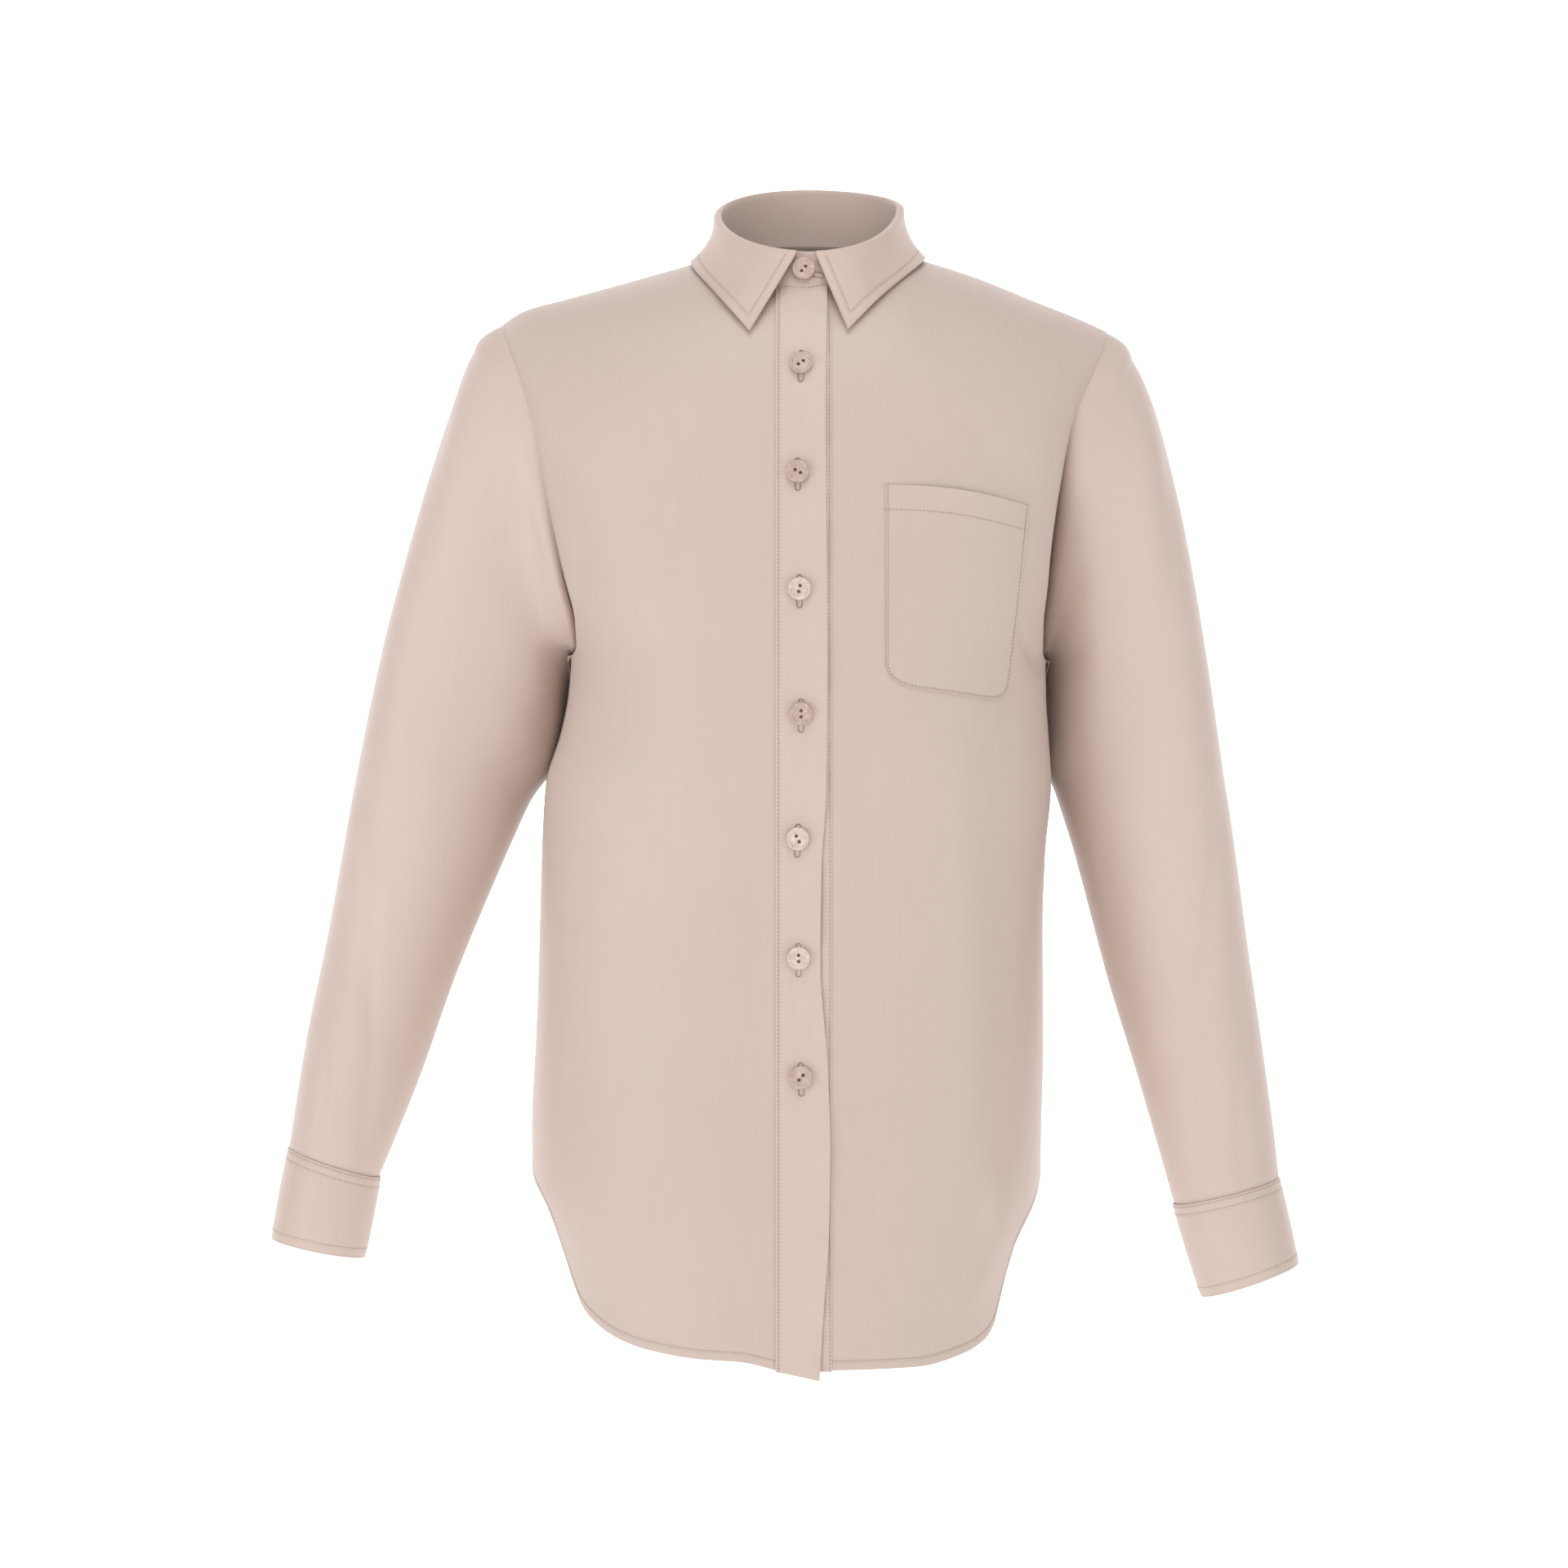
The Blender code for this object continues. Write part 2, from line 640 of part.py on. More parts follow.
def sleeve(side, name, finish, group):
    turns = np.arange(SLEEVE_COLUMNS) * 360 / SLEEVE_COLUMNS
    table = SLEEVE_RINGS[side]
    last = len(table) - 1
    places = np.concatenate([SLEEVE_FIRST_PLACES, np.linspace(1, last, 2 * last - 1)])
    keys = np.arange(len(table))
    loop = armhole_loop(side, turns)
    first = ring_points(table[0], turns)
    rings = []
    for place in places:
        row = [float(along(keys, values, place)) for values in zip(*table)]
        row[0] += CAP_ROUNDING * math.sin(math.pi * min(place, 1.0))
        ring = ring_points(row, turns)
        kept = 1 - smoothstep(place / CAP_REACH)
        rings.append(ring + (loop - first) * kept)
    rings = np.array(rings)
    clear_of_body(side, rings[1:])
    steps = np.linalg.norm(np.diff(rings, axis=0), axis=2)
    lengths = np.concatenate([np.zeros((1, len(turns))), np.cumsum(steps, axis=0)])
    armhole_fold(side, rings, turns, lengths)
    hang = rings[-1] - rings[-2]
    rings[-1] -= hang / np.linalg.norm(hang, axis=1, keepdims=True) * SEAM_GAP / 2
    rings[:, :, 0] *= side
    if side == LEFT:
        rings = rings[:, ::-1]
    cloth_piece(name, rings, finish, group, ring=True)


# A cuff is a band whose ends lap at the back of the wrist.
def cuff(side, name, finish, group):
    turns = np.linspace(CUFF_LAP_AT - 360, CUFF_LAP_AT + CUFF_LAP, CUFF_COLUMNS)
    top = ring_points(SLEEVE_RINGS[side][-1], turns)
    low = ring_points(CUFF_END[side], turns)
    way = low.mean(axis=0) - top.mean(axis=0)
    top = top + way / np.linalg.norm(way) * SEAM_GAP / 2
    shift = np.linspace(-CUFF_SPIRAL, CUFF_SPIRAL, len(turns))[:, None]
    rows = []
    for share in np.linspace(0, 1, CUFF_ROWS):
        ring = top + (low - top) * share
        away = ring - ring.mean(axis=0)
        rows.append(ring + away / np.linalg.norm(away, axis=1, keepdims=True) * shift)
    rows = np.array(rows)
    rows[:, :, 0] *= side
    cloth_piece(name, rows if side == RIGHT else rows[:, ::-1], finish, group)
    return rows


def fold_line(turn):
    angle = math.radians(turn)
    level = math.cos(angle)
    face = FRONT if level > 0 else BACK
    x = FOLD_CENTRE_X + FOLD_HALF_WIDTH * math.sin(angle)
    y = face * FOLD_DEPTH[face] * abs(level)
    blend = (1 + math.sin(angle)) / 2
    rise = FOLD_SIDE_RISE[RIGHT] + (FOLD_SIDE_RISE[LEFT] - FOLD_SIDE_RISE[RIGHT]) * blend
    return np.array([x, y, rise + (FOLD_RISE[face] - rise) * abs(level)])


def neck_ring(turn):
    angle = math.radians(turn)
    face = FRONT if math.cos(angle) > 0 else BACK
    side = LEFT if math.sin(angle) > 0 else RIGHT
    out = NECK_SIDE[side] * abs(math.sin(angle))
    drop = float(neckline(side, face, out))
    return np.array([side * out, float(skin(side, face, out, drop)), -drop])


def lap_lift(turn):
    start, end = STAND_ENDS
    over = 1 - smoothstep((start - turn) / STAND_LAP_REACH)
    under = 1 - smoothstep((turn - end) / STAND_LAP_REACH)
    return STAND_LAP_LIFT * float(over - under)


# Level direction out of the neck at a turn.
def outward(turn):
    angle = math.radians(turn)
    return np.array([math.sin(angle), -math.cos(angle), 0.0])


def stand_point(turn, share):
    low = neck_ring(turn)
    top = fold_line(turn) - np.array([0, 0, LEAF_ROLL + LEAF_RISE])
    way = (top - low) / np.linalg.norm(top - low)
    low = low + way * (CLOTH + SEAM_GAP)
    return low + (top - low) * share + outward(turn) * lap_lift(turn)


def collar_stand(finish, group):
    turns = np.linspace(*STAND_ENDS, COLLAR_COLUMNS)
    shares = np.linspace(1, 0, STAND_ROWS)
    rows = [[stand_point(turn, share) for turn in turns] for share in shares]
    cloth_piece("collar_stand", np.array(rows), finish, group)


def collar_leaf(finish, group):
    turns = np.linspace(*LEAF_ENDS, COLLAR_COLUMNS)
    shares = np.linspace(0, 1, len(turns))
    keys = column(LEAF_EDGE, 0)
    edge = np.stack([along(keys, column(LEAF_EDGE, k), shares) for k in (1, 2, 3)], axis=1)
    edge[:, 2] *= -1
    rows = []
    for turn, low in zip(turns, edge):
        seam = stand_point(turn, 1.0)
        run = stand_point(turn - 1.0, 1.0) - stand_point(turn + 1.0, 1.0)
        run /= np.linalg.norm(run)
        out = outward(turn) - run * (outward(turn) @ run)
        out /= np.linalg.norm(out)
        up = np.cross(run, out)
        up *= math.copysign(1.0, up[2])
        line = [seam + up * LEAF_SEAM_LIFT]
        centre = seam + up * LEAF_RISE + out * LEAF_ROLL
        for angle in np.radians(LEAF_ROLL_TURNS):
            line.append(centre + LEAF_ROLL * (math.cos(angle) * out + math.sin(angle) * up))
        start = line[-1]
        sideways = (abs(math.sin(math.radians(turn))) - FLARE_FROM) / (1 - FLARE_FROM)
        flare = 1 + LEAF_FLARE * float(smoothstep(sideways))
        for share in np.linspace(0, 1, LEAF_ROWS + 1)[1:]:
            reach = np.array([share**flare, share**flare, share])
            line.append(start + (low - start) * reach)
        rows.append(line)
    cloth_piece("collar_leaf", np.array(rows).transpose(1, 0, 2), finish, group)


def pocket(finish, group):
    points = np.zeros((POCKET_ROWS, POCKET_COLUMNS, 3))
    for k, across in enumerate(np.linspace(0, 1, POCKET_COLUMNS)):
        inner_share, inner_rise = POCKET_CORNER_INNER
        outer_share, outer_rise = POCKET_CORNER_OUTER
        low = 1.0
        if across < inner_share:
            low -= inner_rise * (1 - math.sqrt(1 - (1 - across / inner_share) ** 2))
        if 1 - across < outer_share:
            low -= outer_rise * (1 - math.sqrt(1 - (1 - (1 - across) / outer_share) ** 2))
        for row, down in enumerate(np.linspace(0, low, POCKET_ROWS)):
            top = np.array(POCKET["top_inner"]) * (1 - across) + np.array(POCKET["top_outer"]) * across
            base = np.array(POCKET["low_inner"]) * (1 - across) + np.array(POCKET["low_outer"]) * across
            x, drop = top + (base - top) * down
            points[row, k] = (x, skin(LEFT, FRONT, x, drop), -drop)
    cloth_piece("pocket", points - grid_normals(points) * POCKET_LIFT, finish, group)


# A two-hole button with a raised rim and a shallow dish, turned about its axis.
def button_mesh(cutters):
    face = BUTTON_THICKNESS
    profile = (
        (0.0, face - BUTTON_DISH),
        (BUTTON_RADIUS - BUTTON_RIM - BUTTON_BEVEL, face - BUTTON_DISH),
        (BUTTON_RADIUS - BUTTON_RIM, face),
        (BUTTON_RADIUS - BUTTON_BEVEL, face),
        (BUTTON_RADIUS, face - BUTTON_BEVEL),
        (BUTTON_RADIUS, BUTTON_FOOT),
        (BUTTON_RADIUS - BUTTON_FOOT, 0.0),
        (0.0, 0.0),
    )
    shape = bpy.data.meshes.new("button_profile")
    links = [(i, i + 1) for i in range(len(profile) - 1)]
    shape.from_pydata([(r, 0, z) for r, z in profile], links, [])
    blank = bpy.data.objects.new("button_blank", shape)
    cutters.objects.link(blank)
    turned = blank.modifiers.new("Turn", "SCREW")
    turned.axis = "Z"
    turned.steps = BUTTON_STEPS
    turned.render_steps = BUTTON_STEPS
    turned.use_merge_vertices = True
    turned.merge_threshold = MERGE_DISTANCE
    holes = bmesh.new()
    for offset in (-HOLE_SPACING / 2, HOLE_SPACING / 2):
        place = Matrix.Translation((0, offset, face / 2))
        bmesh.ops.create_cone(
            holes, cap_ends=True, segments=HOLE_SIDES, radius1=HOLE_RADIUS, radius2=HOLE_RADIUS,
            depth=face * 3, matrix=place,
        )
    drill_mesh = bpy.data.meshes.new("button_drill")
    holes.to_mesh(drill_mesh)
    holes.free()
    drill = bpy.data.objects.new("button_drill", drill_mesh)
    cutters.objects.link(drill)
    cut = blank.modifiers.new("Holes", "BOOLEAN")
    cut.operation = "DIFFERENCE"
    cut.object = drill
    for helper in (blank, drill):
        helper.hide_render = True
        helper.display_type = "WIRE"
    bpy.context.view_layer.update()
    graph = bpy.context.evaluated_depsgraph_get()
    mesh = bpy.data.meshes.new_from_object(blank.evaluated_get(graph))
    mesh.name = "button"
    mesh.shade_smooth()
    mesh.set_sharp_from_angle(angle=math.radians(SHARP_DEGREES))
    return mesh


# Stands a button on the cloth at a point of its mid surface.
def place_button(name, mesh, point, normal, turn, group):
    normal = Vector(normal).normalized()
    upright = Vector((0, 0, 1))
    side = upright.cross(normal).normalized()
    top = normal.cross(side)
    frame = Matrix((side, top, normal)).transposed().to_4x4()
    seat = Vector(point) + normal * (CLOTH / 2 + SEAM_GAP)
    made = bpy.data.objects.new(name, mesh)
    made.matrix_world = Matrix.Translation(seat) @ frame @ Matrix.Rotation(math.radians(-turn), 4, "Z")
    group.objects.link(made)


def buttons(mesh, upper, group):
    normals = -grid_normals(upper)
    middle = upper.shape[1] // 2
    drops = -upper[:, middle, 2]
    for number, (x, drop, turn) in enumerate(BUTTONS, 1):
        y = float(np.interp(drop, drops, upper[:, middle, 1]))
        normal = [float(np.interp(drop, drops, normals[:, middle, axis])) for axis in range(3)]
        normal[0] = 0.0
        place_button(f"button_{number}", mesh, (x, y, -drop), normal, turn, group)
    x, drop, turn = COLLAR_BUTTON
    angle = math.degrees(math.asin(x / NECK_SIDE[RIGHT]))
    low, top = stand_point(angle, 0.0), stand_point(angle, 1.0)
    share = (-drop - low[2]) / (top[2] - low[2])
    lean = np.cross(top - low, (1.0, 0.0, 0.0))
    lean = lean if lean[1] < 0 else -lean
    place_button("button_collar", mesh, stand_point(angle, share), lean, turn, group)


# The cuff's button, near the lap's outer end and half way along the cuff.
def cuff_button(name, mesh, band, group):
    lap = CUFF_BUTTON_COLUMN
    low, top = band[2, lap], band[1, lap]
    centre = band[1:3, lap].mean(axis=0)
    along_cuff = (top - low) / np.linalg.norm(top - low)
    away = centre - band[1:3].mean(axis=(0, 1))
    away -= along_cuff * (away @ along_cuff)
    place_button(name, mesh, centre, away, 0, group)


def main():
    for old in list(bpy.data.objects):
        bpy.data.objects.remove(old, do_unlink=True)
    blouse = collection("blouse")
    cutters = collection("cutters")
    cutters.hide_render = True
    cloth, collar, band, shine = [material(name) for name in FINISHES]
    fronts_and_back(cloth, blouse)
    upper = plackets(band, blouse)
    bands = {}
    for side, word in ((RIGHT, "right"), (LEFT, "left")):
        sleeve(side, f"sleeve_{word}", cloth, blouse)
        bands[word] = cuff(side, f"cuff_{word}", band, blouse)
    collar_stand(collar, blouse)
    collar_leaf(collar, blouse)
    pocket(cloth, blouse)
    mesh = button_mesh(cutters)
    mesh.materials.clear()
    mesh.materials.append(shine)
    buttons(mesh, upper, blouse)
    for word, points in bands.items():
        cuff_button(f"button_cuff_{word}", mesh, points, blouse)


main()
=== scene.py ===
import math

import bmesh
import bpy
import numpy as np
from mathutils import Matrix, Vector, noise


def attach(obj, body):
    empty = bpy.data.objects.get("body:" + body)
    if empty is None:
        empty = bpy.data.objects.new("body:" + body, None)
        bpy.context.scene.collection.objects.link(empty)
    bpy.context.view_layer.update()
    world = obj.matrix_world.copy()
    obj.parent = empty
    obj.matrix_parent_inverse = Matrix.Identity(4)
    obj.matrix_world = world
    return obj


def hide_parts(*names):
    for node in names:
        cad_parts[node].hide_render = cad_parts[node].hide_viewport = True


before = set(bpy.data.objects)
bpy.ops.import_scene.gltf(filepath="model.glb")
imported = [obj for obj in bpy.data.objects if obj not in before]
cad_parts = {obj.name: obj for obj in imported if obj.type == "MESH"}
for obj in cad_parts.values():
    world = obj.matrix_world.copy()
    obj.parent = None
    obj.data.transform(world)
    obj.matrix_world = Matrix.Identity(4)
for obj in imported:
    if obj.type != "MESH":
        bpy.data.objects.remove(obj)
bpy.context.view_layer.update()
print("frame loaded")

# Wearer's right is at -X and the front faces -Y. A drop is measured down from the neck base.
right, left = -1, 1
names = {right: "right", left: "left"}
front, back = -1, 1

body = {
    "sides": (  # drop, half width on the right, on the left
        (0.038, 0.2035, 0.2095), (0.062, 0.1970, 0.2045), (0.087, 0.1900, 0.1930),
        (0.112, 0.1845, 0.1855), (0.138, 0.1785, 0.1800), (0.170, 0.1725, 0.1735),
        (0.200, 0.1655, 0.1690), (0.228, 0.1538, 0.1612), (0.252, 0.1456, 0.1562),
        (0.275, 0.1480, 0.1560), (0.300, 0.1534, 0.1576), (0.330, 0.1622, 0.1594),
        (0.375, 0.1647, 0.1558), (0.425, 0.1657, 0.1542), (0.487, 0.1677, 0.1542),
        (0.549, 0.1705, 0.1530), (0.575, 0.1700, 0.1525), (0.600, 0.1650, 0.1485),
        (0.630, 0.1560, 0.1400), (0.660, 0.1500, 0.1345), (0.700, 0.1480, 0.1320),
    ),
    "depths": (  # drop, to the front, to the back
        (-0.050, 0.082, 0.066), (-0.020, 0.085, 0.072), (0.020, 0.090, 0.082), (0.060, 0.097, 0.093),
        (0.100, 0.106, 0.101), (0.160, 0.1170, 0.1065), (0.220, 0.1250, 0.1060), (0.280, 0.1275, 0.1020),
        (0.360, 0.1245, 0.0985), (0.450, 0.1225, 0.1020), (0.550, 0.1240, 0.1100),
        (0.700, 0.1270, 0.1170),
    ),
    "shoulders": (  # out from the centre, drop on the right, on the left
        (0.050, -0.0052, -0.0092), (0.062, -0.0018, -0.0063), (0.110, 0.0112, 0.0077),
        (0.150, 0.0222, 0.0237), (0.176, 0.0294, 0.0339), (0.189, 0.0376, 0.0396),
        (0.196, 0.0426, 0.0431),
    ),
    "neckDome": {front: 0.0105, back: 0.0430},
    "shoulderRoll": 0.090,
    "squareness": {front: 2.5, back: 2.3},
    "armhole": (  # turn, out on the right, out on the left, share of the way down
        (0, 0.1890, 0.1950, 0.000), (15, 0.1880, 0.1940, 0.020), (30, 0.1850, 0.1910, 0.065),
        (45, 0.1790, 0.1840, 0.140), (60, 0.1720, 0.1745, 0.240), (75, 0.1660, 0.1680, 0.360),
        (90, 0.1610, 0.1635, 0.490), (105, 0.1548, 0.1590, 0.635), (120, 0.1482, 0.1560, 0.775),
        (135, 0.1420, 0.1532, 0.900), (150, 0.1414, 0.1532, 0.972), (165, 0.1432, 0.1547, 0.993),
        (180, 0.1456, 0.1562, 1.000),
    ),
    "shoulderTip": {right: 0.0376, left: 0.0426},
    "armpit": {right: 0.2500, left: 0.2530},
    "neckSide": {right: 0.0535, left: 0.0645},
    "neckDrop": {front: 0.0235, back: -0.0170},
    "hemRight": (  # share of the way round from the front edge, drop
        (0.00, 0.6897), (0.12, 0.6840), (0.24, 0.6827), (0.41, 0.6779), (0.50, 0.6730), (0.60, 0.6641),
        (0.67, 0.6540), (0.71, 0.6360), (0.745, 0.6050), (0.80, 0.5900), (0.90, 0.5790), (1.00, 0.5640),
    ),
    "hemLeft": (
        (0.00, 0.6890), (0.15, 0.6886), (0.29, 0.6880), (0.43, 0.6834), (0.56, 0.6757), (0.63, 0.6650),
        (0.66, 0.6450), (0.68, 0.6200), (0.75, 0.6050), (0.86, 0.5910), (0.92, 0.5790), (1.00, 0.5640),
    ),
    "hemBack": (
        (0.00, 0.6900), (0.25, 0.6860), (0.42, 0.6740), (0.56, 0.6480), (0.70, 0.6080), (0.84, 0.5780),
        (1.00, 0.5640),
    ),
    "hemBand": 0.0065,
    "placeBlend": 1.5,
    "guideBlend": 0.6,
    "edgeBlend": 4,
    "unevenness": 0.0006,
    "waves": (22.0, 3.0, 0.45),  # scale, seed and drawing out down the body of the slow unevenness
    "quiet": (0.30, 0.018, 0.030),  # share of the folds left beside the buttons, half width, way back to full
    "seamDip": (0.0005, 0.004),  # depth and reach of the dip beside a sewn seam
    "sideFade": 0.028,
    "topFade": 0.022,
    "dipFade": 0.020,
    "hemStitchIn": 0.0008,
    "hemStitchLift": 0.0004,
    "spacing": 240,  # steps in which the cloth of one level is measured
    "neckColumns": 14,
    "shoulderColumns": 40,
    "armholeRows": 48,
    "lowerRows": 64,
}

# Soft folds on the body: x, drop at one end, x, drop at the other, width, height, bow.
foldsFront = (
    (-0.030, 0.330, -0.026, 0.640, 0.012, -0.0011, 0.002),
    (-0.062, 0.250, -0.052, 0.660, 0.026, 0.0016, 0.004),
    (-0.110, 0.240, -0.118, 0.560, 0.020, -0.0014, 0.006),
    (-0.150, 0.180, -0.100, 0.215, 0.012, -0.0012, 0.003),
    (-0.150, 0.110, -0.090, 0.060, 0.016, -0.0010, 0.004),
    (-0.120, 0.560, -0.100, 0.660, 0.016, 0.0020, 0.003),
    (-0.145, 0.500, -0.150, 0.590, 0.010, -0.0016, 0.002),
    (0.034, 0.290, 0.032, 0.650, 0.013, -0.0011, 0.003),
    (0.086, 0.290, 0.100, 0.600, 0.020, 0.0017, 0.005),
    (0.128, 0.300, 0.122, 0.560, 0.015, -0.0014, -0.004),
    (0.143, 0.250, 0.105, 0.330, 0.010, -0.0013, 0.002),
    (0.150, 0.150, 0.110, 0.120, 0.012, -0.0010, 0.002),
    (0.126, 0.570, 0.095, 0.660, 0.011, 0.0030, 0.004),
    (0.108, 0.590, 0.070, 0.670, 0.012, -0.0018, 0.003),
    (0.150, 0.080, 0.080, 0.040, 0.016, -0.0010, 0.004),
)
bustDart = ((0.1526, 0.2621, 0.1378, 0.2363, 0.0048, -0.0022, 0.0),)
foldsBack = (
    (-0.120, 0.120, -0.060, 0.200, 0.018, 0.0016, 0.005),
    (0.120, 0.120, 0.060, 0.205, 0.018, 0.0016, -0.005),
    (-0.140, 0.240, -0.070, 0.300, 0.014, -0.0018, 0.006),
    (0.140, 0.245, 0.075, 0.310, 0.014, -0.0018, -0.006),
    (-0.075, 0.290, -0.066, 0.650, 0.022, 0.0022, 0.006),
    (0.060, 0.280, 0.072, 0.650, 0.022, 0.0022, -0.006),
    (0.005, 0.320, -0.010, 0.660, 0.020, -0.0016, 0.004),
    (-0.118, 0.330, -0.112, 0.600, 0.014, -0.0016, 0.004),
    (0.116, 0.340, 0.108, 0.600, 0.014, -0.0016, -0.004),
    (0.000, 0.060, 0.004, 0.160, 0.030, -0.0010, 0.002),
)
foldStyle = {
    "wander": (0.12, 7.0, 1.7),  # share of the width, turns along a fold, shift from one fold to the next
    "uneven": (0.22, 5.3, 2.1),
    "overrun": 0.2,  # a fold runs on past both ends by this share and fades
    "fade": 0.45,
    "lean": 0.35,  # one flank is steeper than the other
}


tiny = 1e-12  # keeps a division by nothing away


def along(keys, values, at):  # a smooth curve through a table's rows, with no overshoot
    keys = np.asarray(keys, float)
    values = np.asarray(values, float)
    steps = np.diff(keys)
    rises = np.diff(values) / steps
    slopes = np.zeros(len(values))
    slopes[0], slopes[-1] = rises[0], rises[-1]
    sameWay = rises[:-1] * rises[1:] > 0
    total = np.where(sameWay, rises[:-1] + rises[1:], 1.0)
    slopes[1:-1] = np.where(sameWay, 2 * rises[:-1] * rises[1:] / total, 0.0)
    at = np.clip(np.asarray(at, float), keys[0], keys[-1])
    i = np.clip(np.searchsorted(keys, at, side="right") - 1, 0, len(steps) - 1)
    t = (at - keys[i]) / steps[i]
    rest = 1 - t
    ends = values[i] * rest * rest * (1 + 2 * t) + values[i + 1] * t * t * (3 - 2 * t)
    return ends + steps[i] * t * rest * (slopes[i] * rest - slopes[i + 1] * t)


def column(table, index):
    return [row[index] for row in table]


def lookUp(table, index, at):  # a column of a table as a curve over its first column
    return along(column(table, 0), column(table, index), at)


def unit(vectors):  # the same directions, one long
    axis = None if vectors.ndim == 1 else -1
    return vectors / np.linalg.norm(vectors, axis=axis, keepdims=True)


def sideColumn(side):
    return 1 if side == right else 2


def smoothStep(t):
    t = np.clip(t, 0.0, 1.0)
    return t * t * (3 - 2 * t)


def depthAt(face, drop):
    return lookUp(body["depths"], 1 if face == front else 2, drop)


def halfWidth(side, drop):
    return lookUp(body["sides"], sideColumn(side), drop)


def ridgeDrop(side, face, out):
    out = np.asarray(out, float)
    neck = body["neckSide"][side]
    atNeck = lookUp(body["shoulders"], sideColumn(side), neck)
    dome = body["neckDome"][face] + atNeck
    inNeck = atNeck - dome * (1 - np.clip(out / neck, 0.0, 1.0) ** 2)
    return np.where(out < neck, inNeck, lookUp(body["shoulders"], sideColumn(side), out))


def rollShare(height):
    share = np.clip(np.asarray(height, float) / body["shoulderRoll"], 0.0, 1.0)
    return np.sqrt(1 - (1 - share) ** 2)


def skinY(side, face, out, drop):
    power = body["squareness"][face]
    across = np.clip(np.asarray(out, float) / halfWidth(side, drop), 0.0, 1.0)
    level = (1 - across**power) ** (1 / power)
    return face * depthAt(face, drop) * level * rollShare(drop - ridgeDrop(side, face, out))


def armholeAt(side, face, turn):
    share = lookUp(body["armhole"], 3, turn)
    out = lookUp(body["armhole"], sideColumn(side), turn)
    tip = body["shoulderTip"][side]
    drop = tip + (body["armpit"][side] - tip) * share
    return out, skinY(side, face, out, drop), drop


def neckDropAt(side, face, out):
    top = ridgeDrop(side, face, body["neckSide"][side])
    across = np.clip(np.asarray(out, float) / body["neckSide"][side], 0.0, 1.0)
    return top + (body["neckDrop"][face] - top) * np.sqrt(1 - across**2)


def spreadRow(side, face, drop, inner, count):  # even places along the cloth of one level
    power = body["squareness"][face]
    width, full = halfWidth(side, drop), depthAt(face, drop)
    start = math.asin(min(1.0, (inner / width) ** (power / 2)))
    turn = np.linspace(start, math.pi / 2, body["spacing"])
    out = width * np.sin(turn) ** (2 / power)
    y = full * np.cos(turn) ** (2 / power)
    length = np.concatenate([[0], np.cumsum(np.hypot(np.diff(out), np.diff(y)))])
    wanted = np.linspace(0, length[-1], count)
    return np.interp(wanted, length, out), np.interp(wanted, length, y)


def halfPanel(side, face, inner, hem):
    neckCount, armRows, lowRows = body["neckColumns"], body["armholeRows"], body["lowerRows"]
    columns = neckCount + body["shoulderColumns"] + 1
    neck, pit = body["neckSide"][side], body["armpit"][side]
    turn = np.linspace(math.asin(inner / neck), math.pi / 2, neckCount + 1)
    tip = armholeAt(side, face, 0)[0]
    onShoulder = np.linspace(neck, tip, body["shoulderColumns"] + 1)[1:]
    topOut = np.concatenate([neck * np.sin(turn), onShoulder])
    topDrop = np.where(topOut < neck, neckDropAt(side, face, topOut), ridgeDrop(side, face, topOut))
    pitOut, pitY = spreadRow(side, face, pit, inner, columns)
    shares = np.linspace(0, 1, columns)
    hemDrop = lookUp(hem, 1, shares)
    points = np.zeros((armRows + lowRows + 1, columns, 3))
    for row in range(len(points)):
        if row <= armRows:
            angle = 180 * row / armRows
            down = float(lookUp(body["armhole"], 3, angle))
            drop = topDrop + (pit - topDrop) * down
            edge = armholeAt(side, face, angle)[0]
            placeTop = (topOut - inner) / (tip - inner)
            placePit = (pitOut - inner) / (pitOut[-1] - inner)
            place = placeTop + (placePit - placeTop) * down ** body["placeBlend"]
            guide = tip + (pitOut[-1] - tip) * down ** body["guideBlend"]
            out = inner + place * (guide - inner) + (edge - guide) * place ** body["edgeBlend"]
            y = face * pitY if row == armRows else skinY(side, face, out, drop)
        else:
            down = (row - armRows) / lowRows
            drop = pit + (hemDrop - pit) * down
            placed = [spreadRow(side, face, drop[k], inner, columns) for k in range(columns)]
            out = np.array([placed[k][0][k] for k in range(columns)])
            y = face * np.array([placed[k][1][k] for k in range(columns)])
        points[row] = np.stack([side * out, y, -drop], axis=1)
    return points


def gridNormals(points, middle=None):  # unit normals of a grid, pointing away from the middle
    down = np.gradient(points, axis=0)
    across = np.gradient(points, axis=1)
    normals = np.cross(across, down)
    normals /= np.linalg.norm(normals, axis=2, keepdims=True) + tiny
    away = points - (np.array([0.0, 0.0, 0.0]) if middle is None else middle)
    if middle is None:
        away = away * np.array([1.0, 1.0, 0.0])
    return -normals if (normals * away).sum() < 0 else normals


def ringNormals(rings):
    down = np.gradient(rings, axis=0)
    across = np.roll(rings, -1, axis=1) - np.roll(rings, 1, axis=1)
    normals = np.cross(across, down)
    normals /= np.linalg.norm(normals, axis=2, keepdims=True) + tiny
    away = rings - rings.mean(axis=1, keepdims=True)
    return -normals if (normals * away).sum() < 0 else normals


